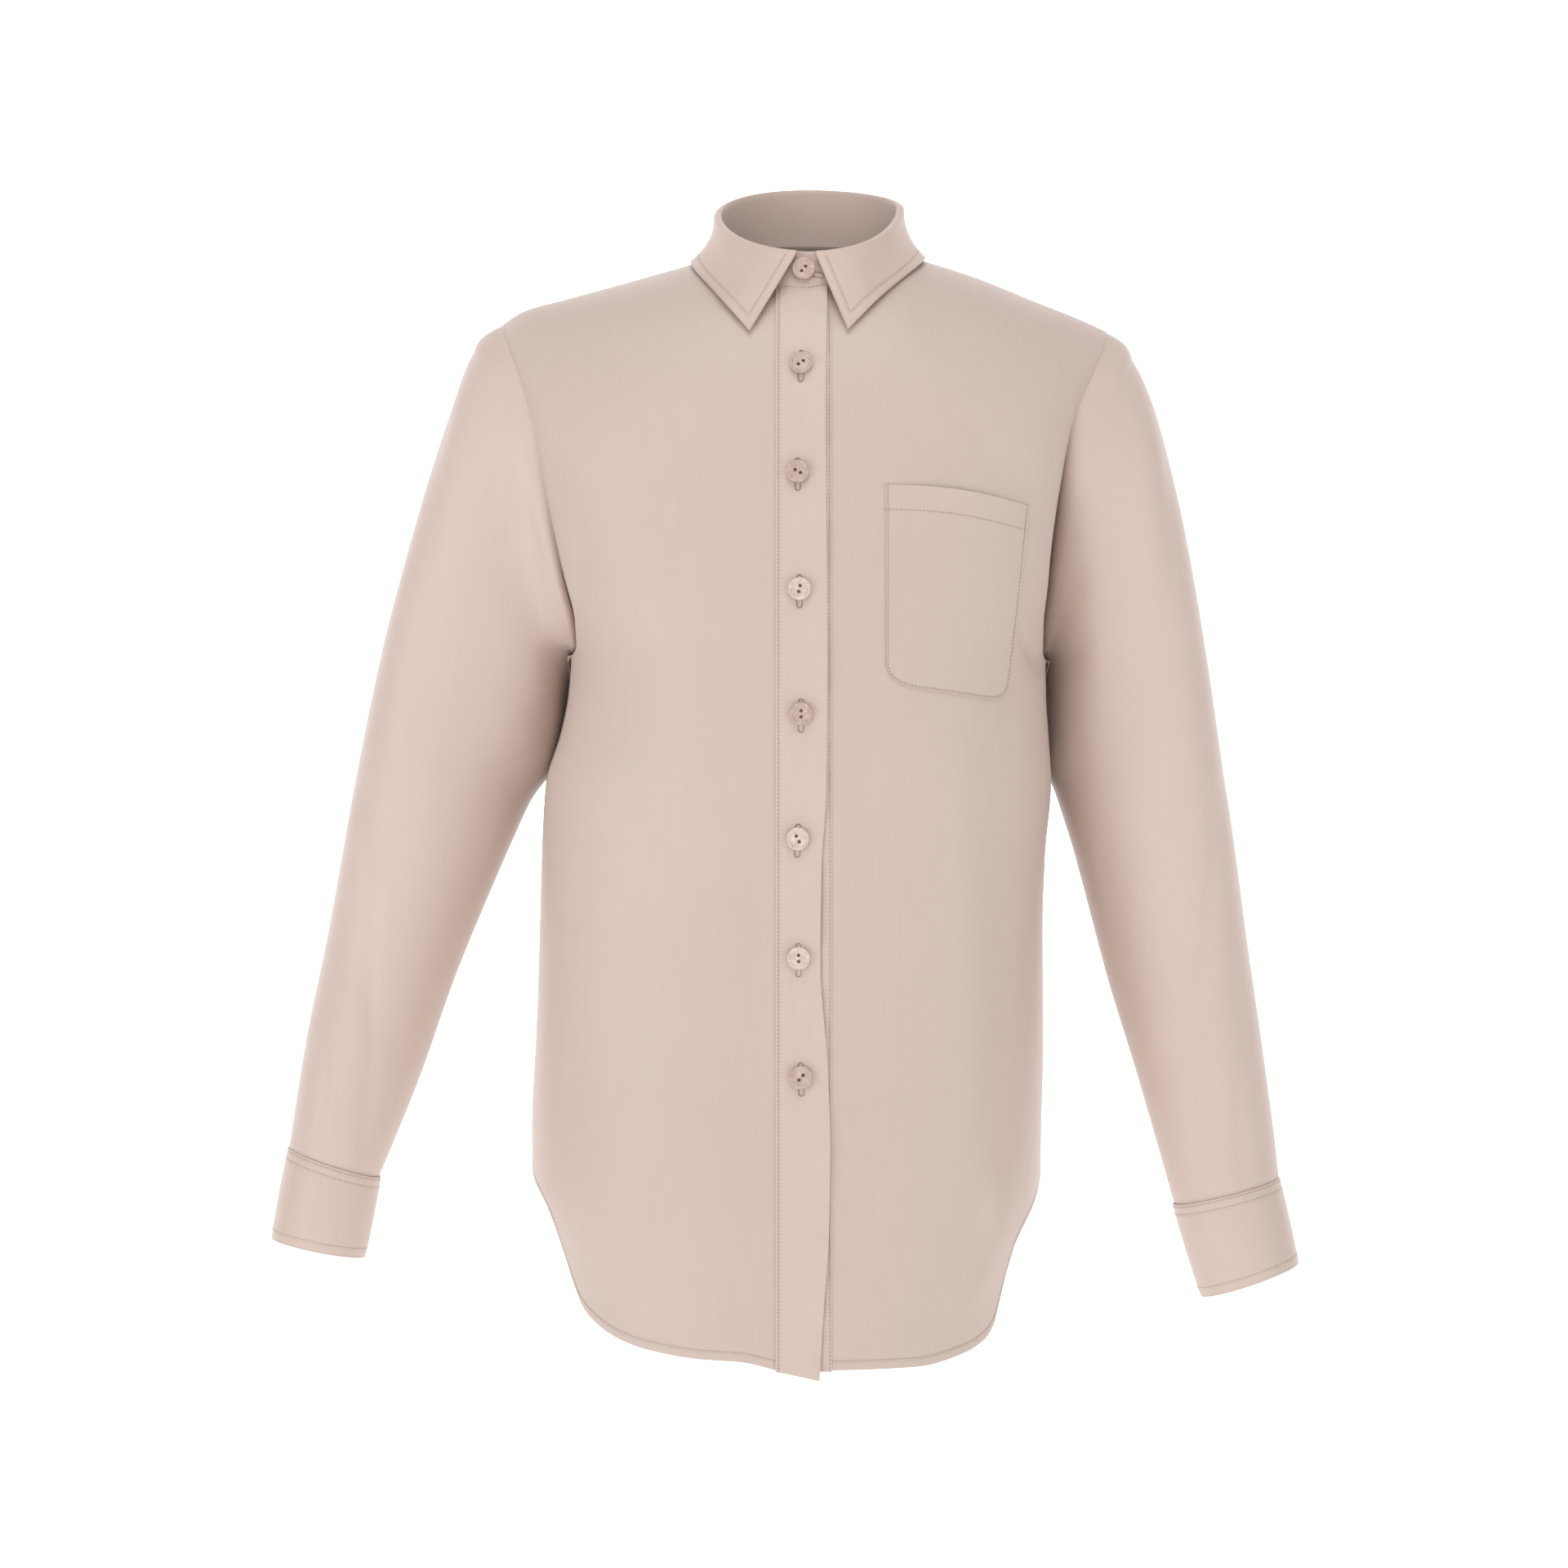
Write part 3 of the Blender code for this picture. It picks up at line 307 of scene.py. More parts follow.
def foldHeight(u, v, table):  # soft uneven ridges and troughs across a surface
    total = np.zeros(np.shape(u))
    sway, swayTurns, swayShift = foldStyle["wander"]
    change, changeTurns, changeShift = foldStyle["uneven"]
    overrun, fade = foldStyle["overrun"], foldStyle["fade"]
    for number, (u0, v0, u1, v1, width, height, bow) in enumerate(table):
        du, dv = u1 - u0, v1 - v0
        length = math.hypot(du, dv)
        t = ((u - u0) * du + (v - v0) * dv) / length**2
        off = ((u - u0) * dv - (v - v0) * du) / length
        off = off - bow * 4 * np.clip(t, 0, 1) * (1 - np.clip(t, 0, 1))
        off = off + sway * width * np.sin(swayTurns * t + swayShift * number)
        ends = smoothStep((t + overrun) / fade) * smoothStep((1 + overrun - t) / fade)
        uneven = 1 + change * np.sin(changeTurns * t + changeShift * number)
        reach = off / width
        total += height * ends * uneven * np.exp(-(reach**2)) * (1 + foldStyle["lean"] * np.tanh(reach))
    return total


def softNoise(points, scale, seed):  # slow rise and fall of steamed cloth
    flat = points.reshape(-1, 3)
    values = [noise.noise(Vector((p[0] * scale + seed, p[1] * scale, p[2] * scale))) for p in flat]
    return np.array(values).reshape(points.shape[:2])


# Cloth and thread finishes. The thread colour is darker than the cloth: painted shade of the stitch holes.
finishes = {
    "body": {"colour": (0.602, 0.482, 0.424), "roughness": 0.48, "sheen": 0.15},
    "sleeve": {"colour": (0.640, 0.510, 0.450), "roughness": 0.48, "sheen": 0.15},
    "band": {"colour": (0.625, 0.498, 0.434), "roughness": 0.46, "sheen": 0.15},
    "collar": {"colour": (0.615, 0.480, 0.420), "roughness": 0.46, "sheen": 0.15},
    "weaveSize": 0.00042,
    "bandsAtScaleOne": 20,
    # darker than the cloth: painted shade standing in for the shadowed pits of the stitch holes; the real
    # thread has the cloth's colour
    "threadPaintedShade": (0.330, 0.225, 0.175),
    "buttonMatte": (0.560, 0.410, 0.350),
    "buttonPearl": (0.700, 0.570, 0.500),
}


def feed(tree, made, inputs):  # sets a node's inputs; one given as a node and its output is linked
    for key, value in inputs.items():
        if isinstance(value, tuple) and isinstance(value[0], bpy.types.Node):
            tree.links.new(value[0].outputs[value[1]], made.inputs[key])
        else:
            made.inputs[key].default_value = value


def node(tree, kind, inputs=None, **settings):  # a new node with its settings, then its inputs
    made = tree.nodes.new(kind)
    for key, value in settings.items():
        setattr(made, key, value)
    feed(tree, made, inputs or {})
    return made


def newMaterial(name):
    made = bpy.data.materials.new(name)
    made.use_nodes = True
    return made, made.node_tree, made.node_tree.nodes["Principled BSDF"]


def colourRamp(tree, source, colour, shades, places=(0.0, 1.0)):  # between two shades of one colour
    ramp = node(tree, "ShaderNodeValToRGB", {"Fac": source})
    for element, shade, place in zip(ramp.color_ramp.elements, shades, places):
        element.color = tuple(min(1.0, shade * c) for c in colour) + (1.0,)
        element.position = place
    return ramp, "Color"


def noiseNode(tree, source, **inputs):
    return node(tree, "ShaderNodeTexNoise", {"Vector": source, **inputs}), "Fac"


def mathNode(tree, operation, *values):
    return node(tree, "ShaderNodeMath", dict(enumerate(values)), operation=operation), 0


def bumpNode(tree, source, strength, distance, **inputs):
    inputs = {"Strength": strength, "Distance": distance, "Height": source, **inputs}
    return node(tree, "ShaderNodeBump", inputs), "Normal"


def clothMaterial(name, look, grooves=()):
    made, tree, shader = newMaterial(name)
    where = node(tree, "ShaderNodeUVMap", uv_map="clothUV"), "UV"
    place = node(tree, "ShaderNodeTexCoord"), "Object"
    # warp and weft, a plain weave whose threads pass over and under
    turns = 1 / finishes["weaveSize"] / finishes["bandsAtScaleOne"]
    threads = {"Scale": turns, "Distortion": 1.5, "Detail": 1.0, "Detail Scale": 0.8, "Vector": where}
    warp = node(tree, "ShaderNodeTexWave", threads, wave_type="BANDS", bands_direction="X"), "Fac"
    weft = node(tree, "ShaderNodeTexWave", threads, wave_type="BANDS", bands_direction="Y"), "Fac"
    fine = bumpNode(tree, mathNode(tree, "MAXIMUM", warp, weft), 0.18, 0.00008)
    # slubs and slow unevenness in the colour
    stretch = node(tree, "ShaderNodeMapping", {"Scale": (1.0, 0.12, 1.0), "Vector": where}), "Vector"
    slub = noiseNode(tree, stretch, Scale=240.0, Detail=3.0, Roughness=0.6)
    cloud = noiseNode(tree, place, Scale=9.0, Detail=2.0, Roughness=0.5)
    half = mathNode(tree, "MULTIPLY", mathNode(tree, "ADD", slub, cloud), 0.5)
    # faint ripples, then the rows pulled in by stitching
    ripple = noiseNode(tree, place, Scale=55.0, Detail=2.0, Roughness=0.45)
    last = bumpNode(tree, ripple, 0.10, 0.002, Normal=fine)
    gap = node(tree, "ShaderNodeAttribute", attribute_name="edgeGap"), "Fac"
    for centre, reach, dip in grooves:
        away = mathNode(tree, "ABSOLUTE", mathNode(tree, "SUBTRACT", gap, centre))
        span = {"Value": away, "From Min": 0.0, "From Max": reach}
        step = node(tree, "ShaderNodeMapRange", span, interpolation_type="SMOOTHSTEP"), 0
        last = bumpNode(tree, step, 1.0, dip, Normal=last)
    feed(tree, shader, {
        "Roughness": look["roughness"],
        "Sheen Weight": look["sheen"],
        "Sheen Roughness": 0.45,
        "Specular IOR Level": 0.35,
        "Base Color": colourRamp(tree, half, look["colour"], (0.975, 1.02), (0.30, 0.75)),
        "Normal": last,
    })
    return made


def threadMaterial(name, colour):
    made, tree, shader = newMaterial(name)
    place = node(tree, "ShaderNodeTexCoord"), "Object"
    tint = colourRamp(tree, noiseNode(tree, place, Scale=900.0, Detail=1.0), colour, (0.85, 1.1))
    feed(tree, shader, {"Roughness": 0.5, "Sheen Weight": 0.3, "Base Color": tint})
    return made


def buttonMaterial(name, colour, roughness, coat):
    made, tree, shader = newMaterial(name)
    place = node(tree, "ShaderNodeTexCoord"), "Object"
    swirl = noiseNode(tree, place, Scale=260.0, Detail=3.0, Distortion=1.5)
    feed(tree, shader, {
        "Roughness": roughness,
        "Coat Weight": coat,
        "Coat Roughness": 0.15,
        "Specular IOR Level": 0.55,
        "Base Color": colourRamp(tree, swirl, colour, (0.80, 1.12), (0.35, 0.70)),
        "Normal": bumpNode(tree, swirl, 0.15, 0.0002),
    })
    return made


grooves = {  # distance from the edge, half width and depth of each row drawn in by stitching
    "hem": ((0.0057, 0.0022, 0.00040),),
    "band": ((0.0019, 0.0014, 0.00030),),
    "cuff": ((0.0014, 0.0012, 0.00020), (0.0062, 0.0020, 0.00022)),
    "collar": ((0.0010, 0.0010, 0.00020), (0.0060, 0.0018, 0.00040)),
    "pocket": ((0.0015, 0.0014, 0.00025),),
}
materials = {
    "body": clothMaterial("steamedCloth", finishes["body"], grooves["hem"]),
    "sleeve": clothMaterial("sleeveCloth", finishes["sleeve"]),
    "band": clothMaterial("bandCloth", finishes["band"], grooves["band"]),
    "cuff": clothMaterial("cuffCloth", finishes["band"], grooves["cuff"]),
    "collar": clothMaterial("collarCloth", finishes["collar"], grooves["collar"]),
    "pocket": clothMaterial("pocketCloth", finishes["body"], grooves["pocket"]),
    "threadPaintedShade": threadMaterial("sewingThreadPaintedShade", finishes["threadPaintedShade"]),
    "buttonMatte": buttonMaterial("matteButton", finishes["buttonMatte"], 0.38, 0.2),
    "buttonPearl": buttonMaterial("pearlyButton", finishes["buttonPearl"], 0.25, 0.5),
}
print("materials made")

sharpFrom = {"cloth": 50, "button": 35}  # degrees between two faces from which their edge is sharp


def addObject(name, data):
    made = bpy.data.objects.new(name, data)
    bpy.context.scene.collection.objects.link(made)
    return made


def lengthsAlong(points, axis):  # length of cloth from the first point of each row or column
    steps = np.linalg.norm(np.diff(points, axis=axis), axis=2)
    first = np.zeros_like(np.take(steps, [0], axis=axis))
    return np.concatenate([first, np.cumsum(steps, axis=axis)], axis=axis)


def rowDistance(points):  # down each column from its first point
    return lengthsAlong(points, 0)


def fromLow(points):  # down each column to its last point
    gap = rowDistance(points)
    return gap[-1:] - gap


def fromSide(points):  # along each row to its last point
    gap = lengthsAlong(points, 1)
    return gap[:, -1:] - gap


def clothPiece(name, points, finish, thickness, ring=False, edgeGap=None):
    rows, columns = points.shape[:2]
    spans = columns if ring else columns - 1
    r, k = np.meshgrid(np.arange(rows - 1), np.arange(spans), indexing="ij")
    r, k = r.ravel(), k.ravel()
    corners = ((0, 0), (0, 1), (1, 1), (1, 0))
    faces = np.stack([(r + down) * columns + (k + over) % columns for down, over in corners], axis=1)
    mesh = bpy.data.meshes.new(name)
    mesh.from_pydata(points.reshape(-1, 3).tolist(), [], faces.tolist())
    # the weave runs in metres along the cloth's own rows and columns
    closed = np.concatenate([points, points[:, :1]], axis=1) if ring else points
    u, v = lengthsAlong(closed, 1), lengthsAlong(closed, 0)
    uv = np.stack([np.stack([u[r + a, k + b], v[r + a, k + b]], axis=1) for a, b in corners], axis=1)
    layer = mesh.uv_layers.new(name="clothUV")
    layer.uv.foreach_set("vector", uv.reshape(-1).astype(np.float32))
    gap = np.full(rows * columns, 1.0) if edgeGap is None else np.asarray(edgeGap, float).reshape(-1)
    mesh.attributes.new("edgeGap", "FLOAT", "POINT").data.foreach_set("value", gap.astype(np.float32))
    mesh.materials.append(finish)
    mesh.shade_smooth()
    mesh.update()
    shell = addObject(name, mesh)
    wall = shell.modifiers.new("Wall", "SOLIDIFY")
    wall.thickness, wall.offset = thickness, 0.0
    wall.use_even_offset = False
    return settle(shell, sharpFrom["cloth"])


def settle(piece, sharpDegrees=None):  # turns a piece and its modifiers into a plain mesh
    bpy.context.view_layer.update()
    graph = bpy.context.evaluated_depsgraph_get()
    made = piece.evaluated_get(graph)
    mesh = bpy.data.meshes.new_from_object(made, preserve_all_data_layers=True, depsgraph=graph)
    piece.modifiers.clear()
    piece.data = mesh
    if sharpDegrees:
        mesh.set_sharp_from_angle(angle=math.radians(sharpDegrees))
    return piece


def dress(piece, nodes):
    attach(piece, "root")
    if nodes:
        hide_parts(*nodes)


cutPieces = {  # look, wall, slot, flat size, area that shows
    "front": ("body", 0.0006, "cloth", (0.28, 0.75), 0.136),
    "back": ("body", 0.0006, "cloth", (0.53, 0.75), 0.272),
    "placket_right": ("band", 0.0010, "placket", (0.034, 0.70), 0.0212),
    "placket_left": ("band", 0.0007, "placket", (0.034, 0.69), 0.0227),
    "sleeve": ("sleeve", 0.0006, "cloth", (0.57, 0.56), 0.150),
    "cuff": ("cuff", 0.0010, "placket", (0.25, 0.061), 0.0132),
    "collar_stand": ("collar", 0.0011, "collar", (0.432, 0.039), 0.0113),
    "collar_leaf": ("collar", 0.0011, "collar", (0.482, 0.070), 0.0198),
    "pocket": ("pocket", 0.0007, "cloth", (0.099, 0.127), 0.0115),
}


def sewnPiece(kind, points, edgeGap=None, side=None, ring=False):
    look, wall, slotName, flat, area = cutPieces[kind]
    name = kind + "_" + names[side] if side else kind
    piece = clothPiece(name + "_cloth", points, materials[look], wall, ring, edgeGap)
    dress(piece, [name])


stitches = {  # slot, half thickness of the thread
    "bodyStitches": ("cloth", 0.00020),
    "bandStitches": ("placket", 0.00020),
    "collarStitches": ("collar", 0.00018),
    "cuffStitches": ("placket", 0.00018),
}
stitchPitch, stitchShare = 0.0024, 0.62
stitchRuns = {name: [] for name in stitches}


def crossings(points, normals, field, level, lift, reverse=True):  # where each column passes a level
    path = []
    for k in range(points.shape[1]):
        values = field[:, k]
        rows = range(len(values) - 1, 0, -1) if reverse else range(1, len(values))
        for row in rows:
            a, b = values[row - 1], values[row]
            if (a - level) * (b - level) <= 0 and a != b:
                t = (level - a) / (b - a)
                spot = points[row - 1, k] * (1 - t) + points[row, k] * t
                normal = normals[row - 1, k] * (1 - t) + normals[row, k] * t
                path.append(spot + normal * lift)
                break
    return np.array(path)


def curveDistance(points, line):  # distance of each grid point from a polyline
    flat = points.reshape(-1, 3)
    best = np.full(len(flat), np.inf)
    for a, b in zip(line[:-1], line[1:]):
        run = b - a
        t = np.clip(((flat - a) @ run) / max(run @ run, tiny), 0, 1)
        best = np.minimum(best, np.linalg.norm(flat - a - t[:, None] * run, axis=1))
    return best.reshape(points.shape[:2])


def relief(points, face):  # folds and slow unevenness, quieter beside the buttons
    x, drop = points[:, :, 0], -points[:, :, 2]
    least, halfBand, wayBack = body["quiet"]
    scale, seed, drawnOut = body["waves"]
    beside = least + (1 - least) * smoothStep((np.abs(x) - halfBand) / wayBack)
    stretched = points * np.array([1.0, 1.0, drawnOut])
    uneven = body["unevenness"] * softNoise(stretched, scale, seed + face)
    return beside * (foldHeight(x, drop, foldsFront if face == front else foldsBack) + uneven)


def seamPull(distance):  # cloth dips beside a seam that is drawn in by its thread
    depth, reach = body["seamDip"]
    return -depth * np.exp(-((distance / reach) ** 2))


armholeFolds = {  # drop, how deep the sleeve falls back behind the front's edge, how wide it rolls
    left: (
        (0.085, 0.0, 0.012), (0.110, 0.005, 0.014), (0.140, 0.018, 0.020), (0.160, 0.036, 0.026),
        (0.187, 0.052, 0.032), (0.218, 0.062, 0.035), (0.248, 0.060, 0.036), (0.275, 0.038, 0.032),
        (0.320, 0.0, 0.026),
    ),
    right: (
        (0.110, 0.0, 0.008), (0.150, 0.004, 0.009), (0.187, 0.012, 0.012), (0.218, 0.026, 0.017),
        (0.248, 0.034, 0.022), (0.280, 0.018, 0.022), (0.330, 0.0, 0.018),
    ),
}
foldLip = 0.0017  # width of the cloth edge that turns back into the fold
foldBehind = 0.30  # the same fold is shallower at the back
foldOpens = 24  # degrees round from the underarm over which a fold reaches its depth
foldUnder = {"sleeve": 4, "panel": 14}  # degrees beside the underarm left without a fold
belowArmpit = (0.004, 0.360, 0.006)  # start below the armpit, lowest drop and step of the body's edge
sideGrooves = {  # start, rise, end, fall, centre, depth and reach of the groove beside the side seam
    (left, front): (0.290, 0.05, 0.575, 0.03, 0.006, 0.0045, 0.008),
    (left, back): (0.300, 0.05, 0.585, 0.03, 0.0, 0.0006, 0.004),
    (right, front): (0.258, 0.04, 0.430, 0.12, 0.019, 0.0045, 0.009),
    (right, back): (0.300, 0.05, 0.585, 0.03, 0.0, 0.0010, 0.006),
}


def foldDepth(side, points, turns, under):  # depth and width, less beneath the arm, shallow behind
    table = armholeFolds[side]
    drop = np.clip(-points[:, :, 2], table[0][0], table[-1][0])
    share = smoothStep((np.abs(180 - turns) - foldUnder[under]) / foldOpens)
    share = share * np.where(turns <= 180, 1.0, -foldBehind)
    return lookUp(table, 1, drop) * share, lookUp(table, 2, drop)


def foldEdge(side, face):  # the armhole seen from the front, and the body's edge below it
    edge = armholeEdges[side, face]
    first, lowest, step = belowArmpit
    drops = np.arange(-edge[-1, 2] + first, lowest, step)
    below = np.stack([halfWidth(side, drops), 0 * drops, -drops], axis=1)
    return np.concatenate([edge, below]) * [1, 0, 1]


# Fronts and back.
frontStart = {right: 0.0120, left: 0.0168}
hems = {right: body["hemRight"], left: body["hemLeft"]}
panels = {}
normals = {}
armholeEdges = {}
for side in (right, left):
    for face in (front, back):
        start = frontStart[side] if face == front else 0.0
        points = halfPanel(side, face, start, hems[side] if face == front else body["hemBack"])
        outward = gridNormals(points)
        sideGap, topGap = fromSide(points), rowDistance(points)
        fade = smoothStep(sideGap / body["sideFade"]) * smoothStep(topGap / body["topFade"])
        seams = seamPull(sideGap) * smoothStep(topGap / body["dipFade"])
        drop = -points[:, :, 2]
        start, rise, end, fall, centre, depth, reach = sideGrooves[side, face]
        between = smoothStep((drop - start) / rise) * smoothStep((end - drop) / fall)
        groove = depth * between * np.exp(-(((sideGap - centre) / reach) ** 2))
        height = relief(points, face) * fade + seams - groove
        if (side, face) == (left, front):
            height += foldHeight(points[:, :, 0], drop, bustDart)
        panels[side, face] = points + outward * height[:, :, None]
        armholeEdges[side, face] = panels[side, face][: body["armholeRows"] + 1, -1] * [side, 1, 1]
        beside = (np.arange(points.shape[0]) <= body["armholeRows"])[:, None]
        turns = np.minimum(180.0 * np.arange(points.shape[0]) / body["armholeRows"], 180.0)[:, None]
        turns = turns if face == front else 360.0 - turns
        lip = np.exp(-((sideGap / foldLip) ** 2)) * beside
        panels[side, face][:, :, 1] += foldDepth(side, points, turns, "panel")[0] * lip
        normals[side, face] = outward


def hemPath(points, outward):  # a row of stitching along the hem
    above = body["hemBand"] - body["hemStitchIn"]
    return crossings(points, outward, fromLow(points), above, body["hemStitchLift"])


for side in (right, left):
    points, outward = panels[side, front], normals[side, front]
    sewnPiece("front", points, fromLow(points), side)
    stitchRuns["bodyStitches"].append(hemPath(points, outward))
both = np.concatenate([panels[right, back][:, :0:-1], panels[left, back]], axis=1)
bothNormals = np.concatenate([normals[right, back][:, :0:-1], normals[left, back]], axis=1)
sewnPiece("back", both, fromLow(both))
stitchRuns["bodyStitches"].append(hemPath(both, bothNormals))
print("fronts and back made")


def skinGrid(x, drop):  # points and normals of the front where another piece lies on it
    points = np.zeros(x.shape + (3,))
    points[:, :, 0], points[:, :, 2] = x, -drop
    for side in (right, left):
        y = skinY(side, front, np.abs(x), drop)
        points[:, :, 1] = np.where(np.sign(x) == side, y, points[:, :, 1])
    points[:, :, 1] = np.where(x == 0, skinY(right, front, np.abs(x), drop), points[:, :, 1])
    return points, gridNormals(points)


plackets = {
    "freeEdge": (  # drop, x of the upper placket's free edge
        (0.020, 0.0165), (0.100, 0.0152), (0.250, 0.0160), (0.330, 0.0155), (0.385, 0.0125),
        (0.440, 0.0118), (0.500, 0.0160), (0.550, 0.0178), (0.600, 0.0172), (0.650, 0.0140),
        (0.700, 0.0110),
    ),
    "seam": -0.0155,
    "underEdge": -0.0145,
    "underSeam": 0.0187,
    "point": 0.0055,
    "rows": 240,
    "columns": 17,
    "top": 0.020,
    "stitchIn": 0.0019,
    "underStitchIn": 0.0012,
    "stitchLift": 0.00065,
    "underStitchLift": 0.00055,
    "buttonSpacing": 0.0745,
    "raised": 0.0009,
    "edgeLift": (0.0009, 0.35, 0.50),  # height, where it starts and how fast it comes, as shares of the width
    "swell": (0.0010, 0.60, 0.40),
    "pucker": (0.00035, 0.55, 0.45),
    "puckerLength": 0.019,
    "tuckedUnder": (-0.0004, 0.0010, 0.009, 0.006),  # least height, rise, x where it starts, way up
}


def neckDropOf(x):
    return np.array([float(neckDropAt(right if v < 0 else left, front, abs(v))) for v in x])


def strip(leftOf, rightOf, lowDrops, liftOf):  # a band down the front
    shares = np.linspace(0, 1, plackets["columns"])
    top = np.array([plackets["top"]])
    topX = leftOf(top)[0] + (rightOf(top)[0] - leftOf(top)[0]) * shares
    down = np.linspace(0, 1, plackets["rows"])[:, None]
    drop = neckDropOf(topX)[None] + (lowDrops[None] - neckDropOf(topX)[None]) * down
    start, end = leftOf(drop), rightOf(drop)
    x = start + (end - start) * shares[None]
    points, outward = skinGrid(x, drop)
    fade = smoothStep(rowDistance(points) / body["topFade"])
    lift = liftOf(x, drop, shares[None] + 0 * drop) + relief(points, front) * fade
    return points + outward * lift[:, :, None], outward


def bunching(drop):  # the placket swells a little between its buttons
    phase = (drop - buttonPlaces[0][1]) / plackets["buttonSpacing"]
    return 0.5 - 0.5 * np.cos(2 * np.pi * phase)


buttonPlaces = (  # x, drop, turn of the holes from upright in degrees, finish
    (0.0000, 0.0720, 55, "buttonMatte"),
    (-0.0020, 0.1396, -60, "buttonMatte"),
    (-0.0010, 0.2117, 15, "buttonPearl"),
    (0.0000, 0.2878, 0, "buttonMatte"),
    (-0.0020, 0.3641, -25, "buttonPearl"),
    (-0.0015, 0.4372, 0, "buttonPearl"),
    (0.0000, 0.5101, 40, "buttonMatte"),
)


def upperLift(x, drop, share):
    waves = np.sin(drop * 2 * np.pi / plackets["puckerLength"])
    lift = plackets["raised"]
    for key, shape in (("edgeLift", 1.0), ("pucker", waves), ("swell", bunching(drop))):
        height, start, way = plackets[key]
        lift = lift + height * shape * smoothStep((share - start) / way)
    return lift


def underLift(x, drop, share):
    least, rise, start, way = plackets["tuckedUnder"]
    return least + rise * smoothStep((x - start) / way)


hemAtCentre = body["hemRight"][0][1]
upper, upperNormals = strip(
    lambda drop: np.full_like(drop, plackets["seam"]),
    lambda drop: lookUp(plackets["freeEdge"], 1, drop),
    hemAtCentre + plackets["point"] * np.linspace(0, 1, plackets["columns"]),
    upperLift,
)
under, underNormals = strip(
    lambda drop: np.full_like(drop, plackets["underEdge"]),
    lambda drop: np.full_like(drop, plackets["underSeam"]),
    np.full(plackets["columns"], hemAtCentre),
    underLift,
)
sewnPiece("placket_right", upper, fromSide(upper)[:, :1] - fromSide(upper))
sewnPiece("placket_left", under, fromSide(under))


def acrossPath(points, outward, inset, fromEnd, lift):  # stitching along a strip's long edge
    reach = fromSide(points)
    field = reach if fromEnd else reach[:, :1] - reach
    grid = points.transpose(1, 0, 2)
    return crossings(grid, outward.transpose(1, 0, 2), field.T, inset, lift, reverse=fromEnd)


stitchRuns["bandStitches"] += [
    acrossPath(upper, upperNormals, plackets["stitchIn"], False, plackets["stitchLift"]),
    acrossPath(under, underNormals, plackets["underStitchIn"], True, plackets["underStitchLift"]),
]
stitchLift = 0.0006  # over cuffs, collar leaf and pocket
print("plackets made")

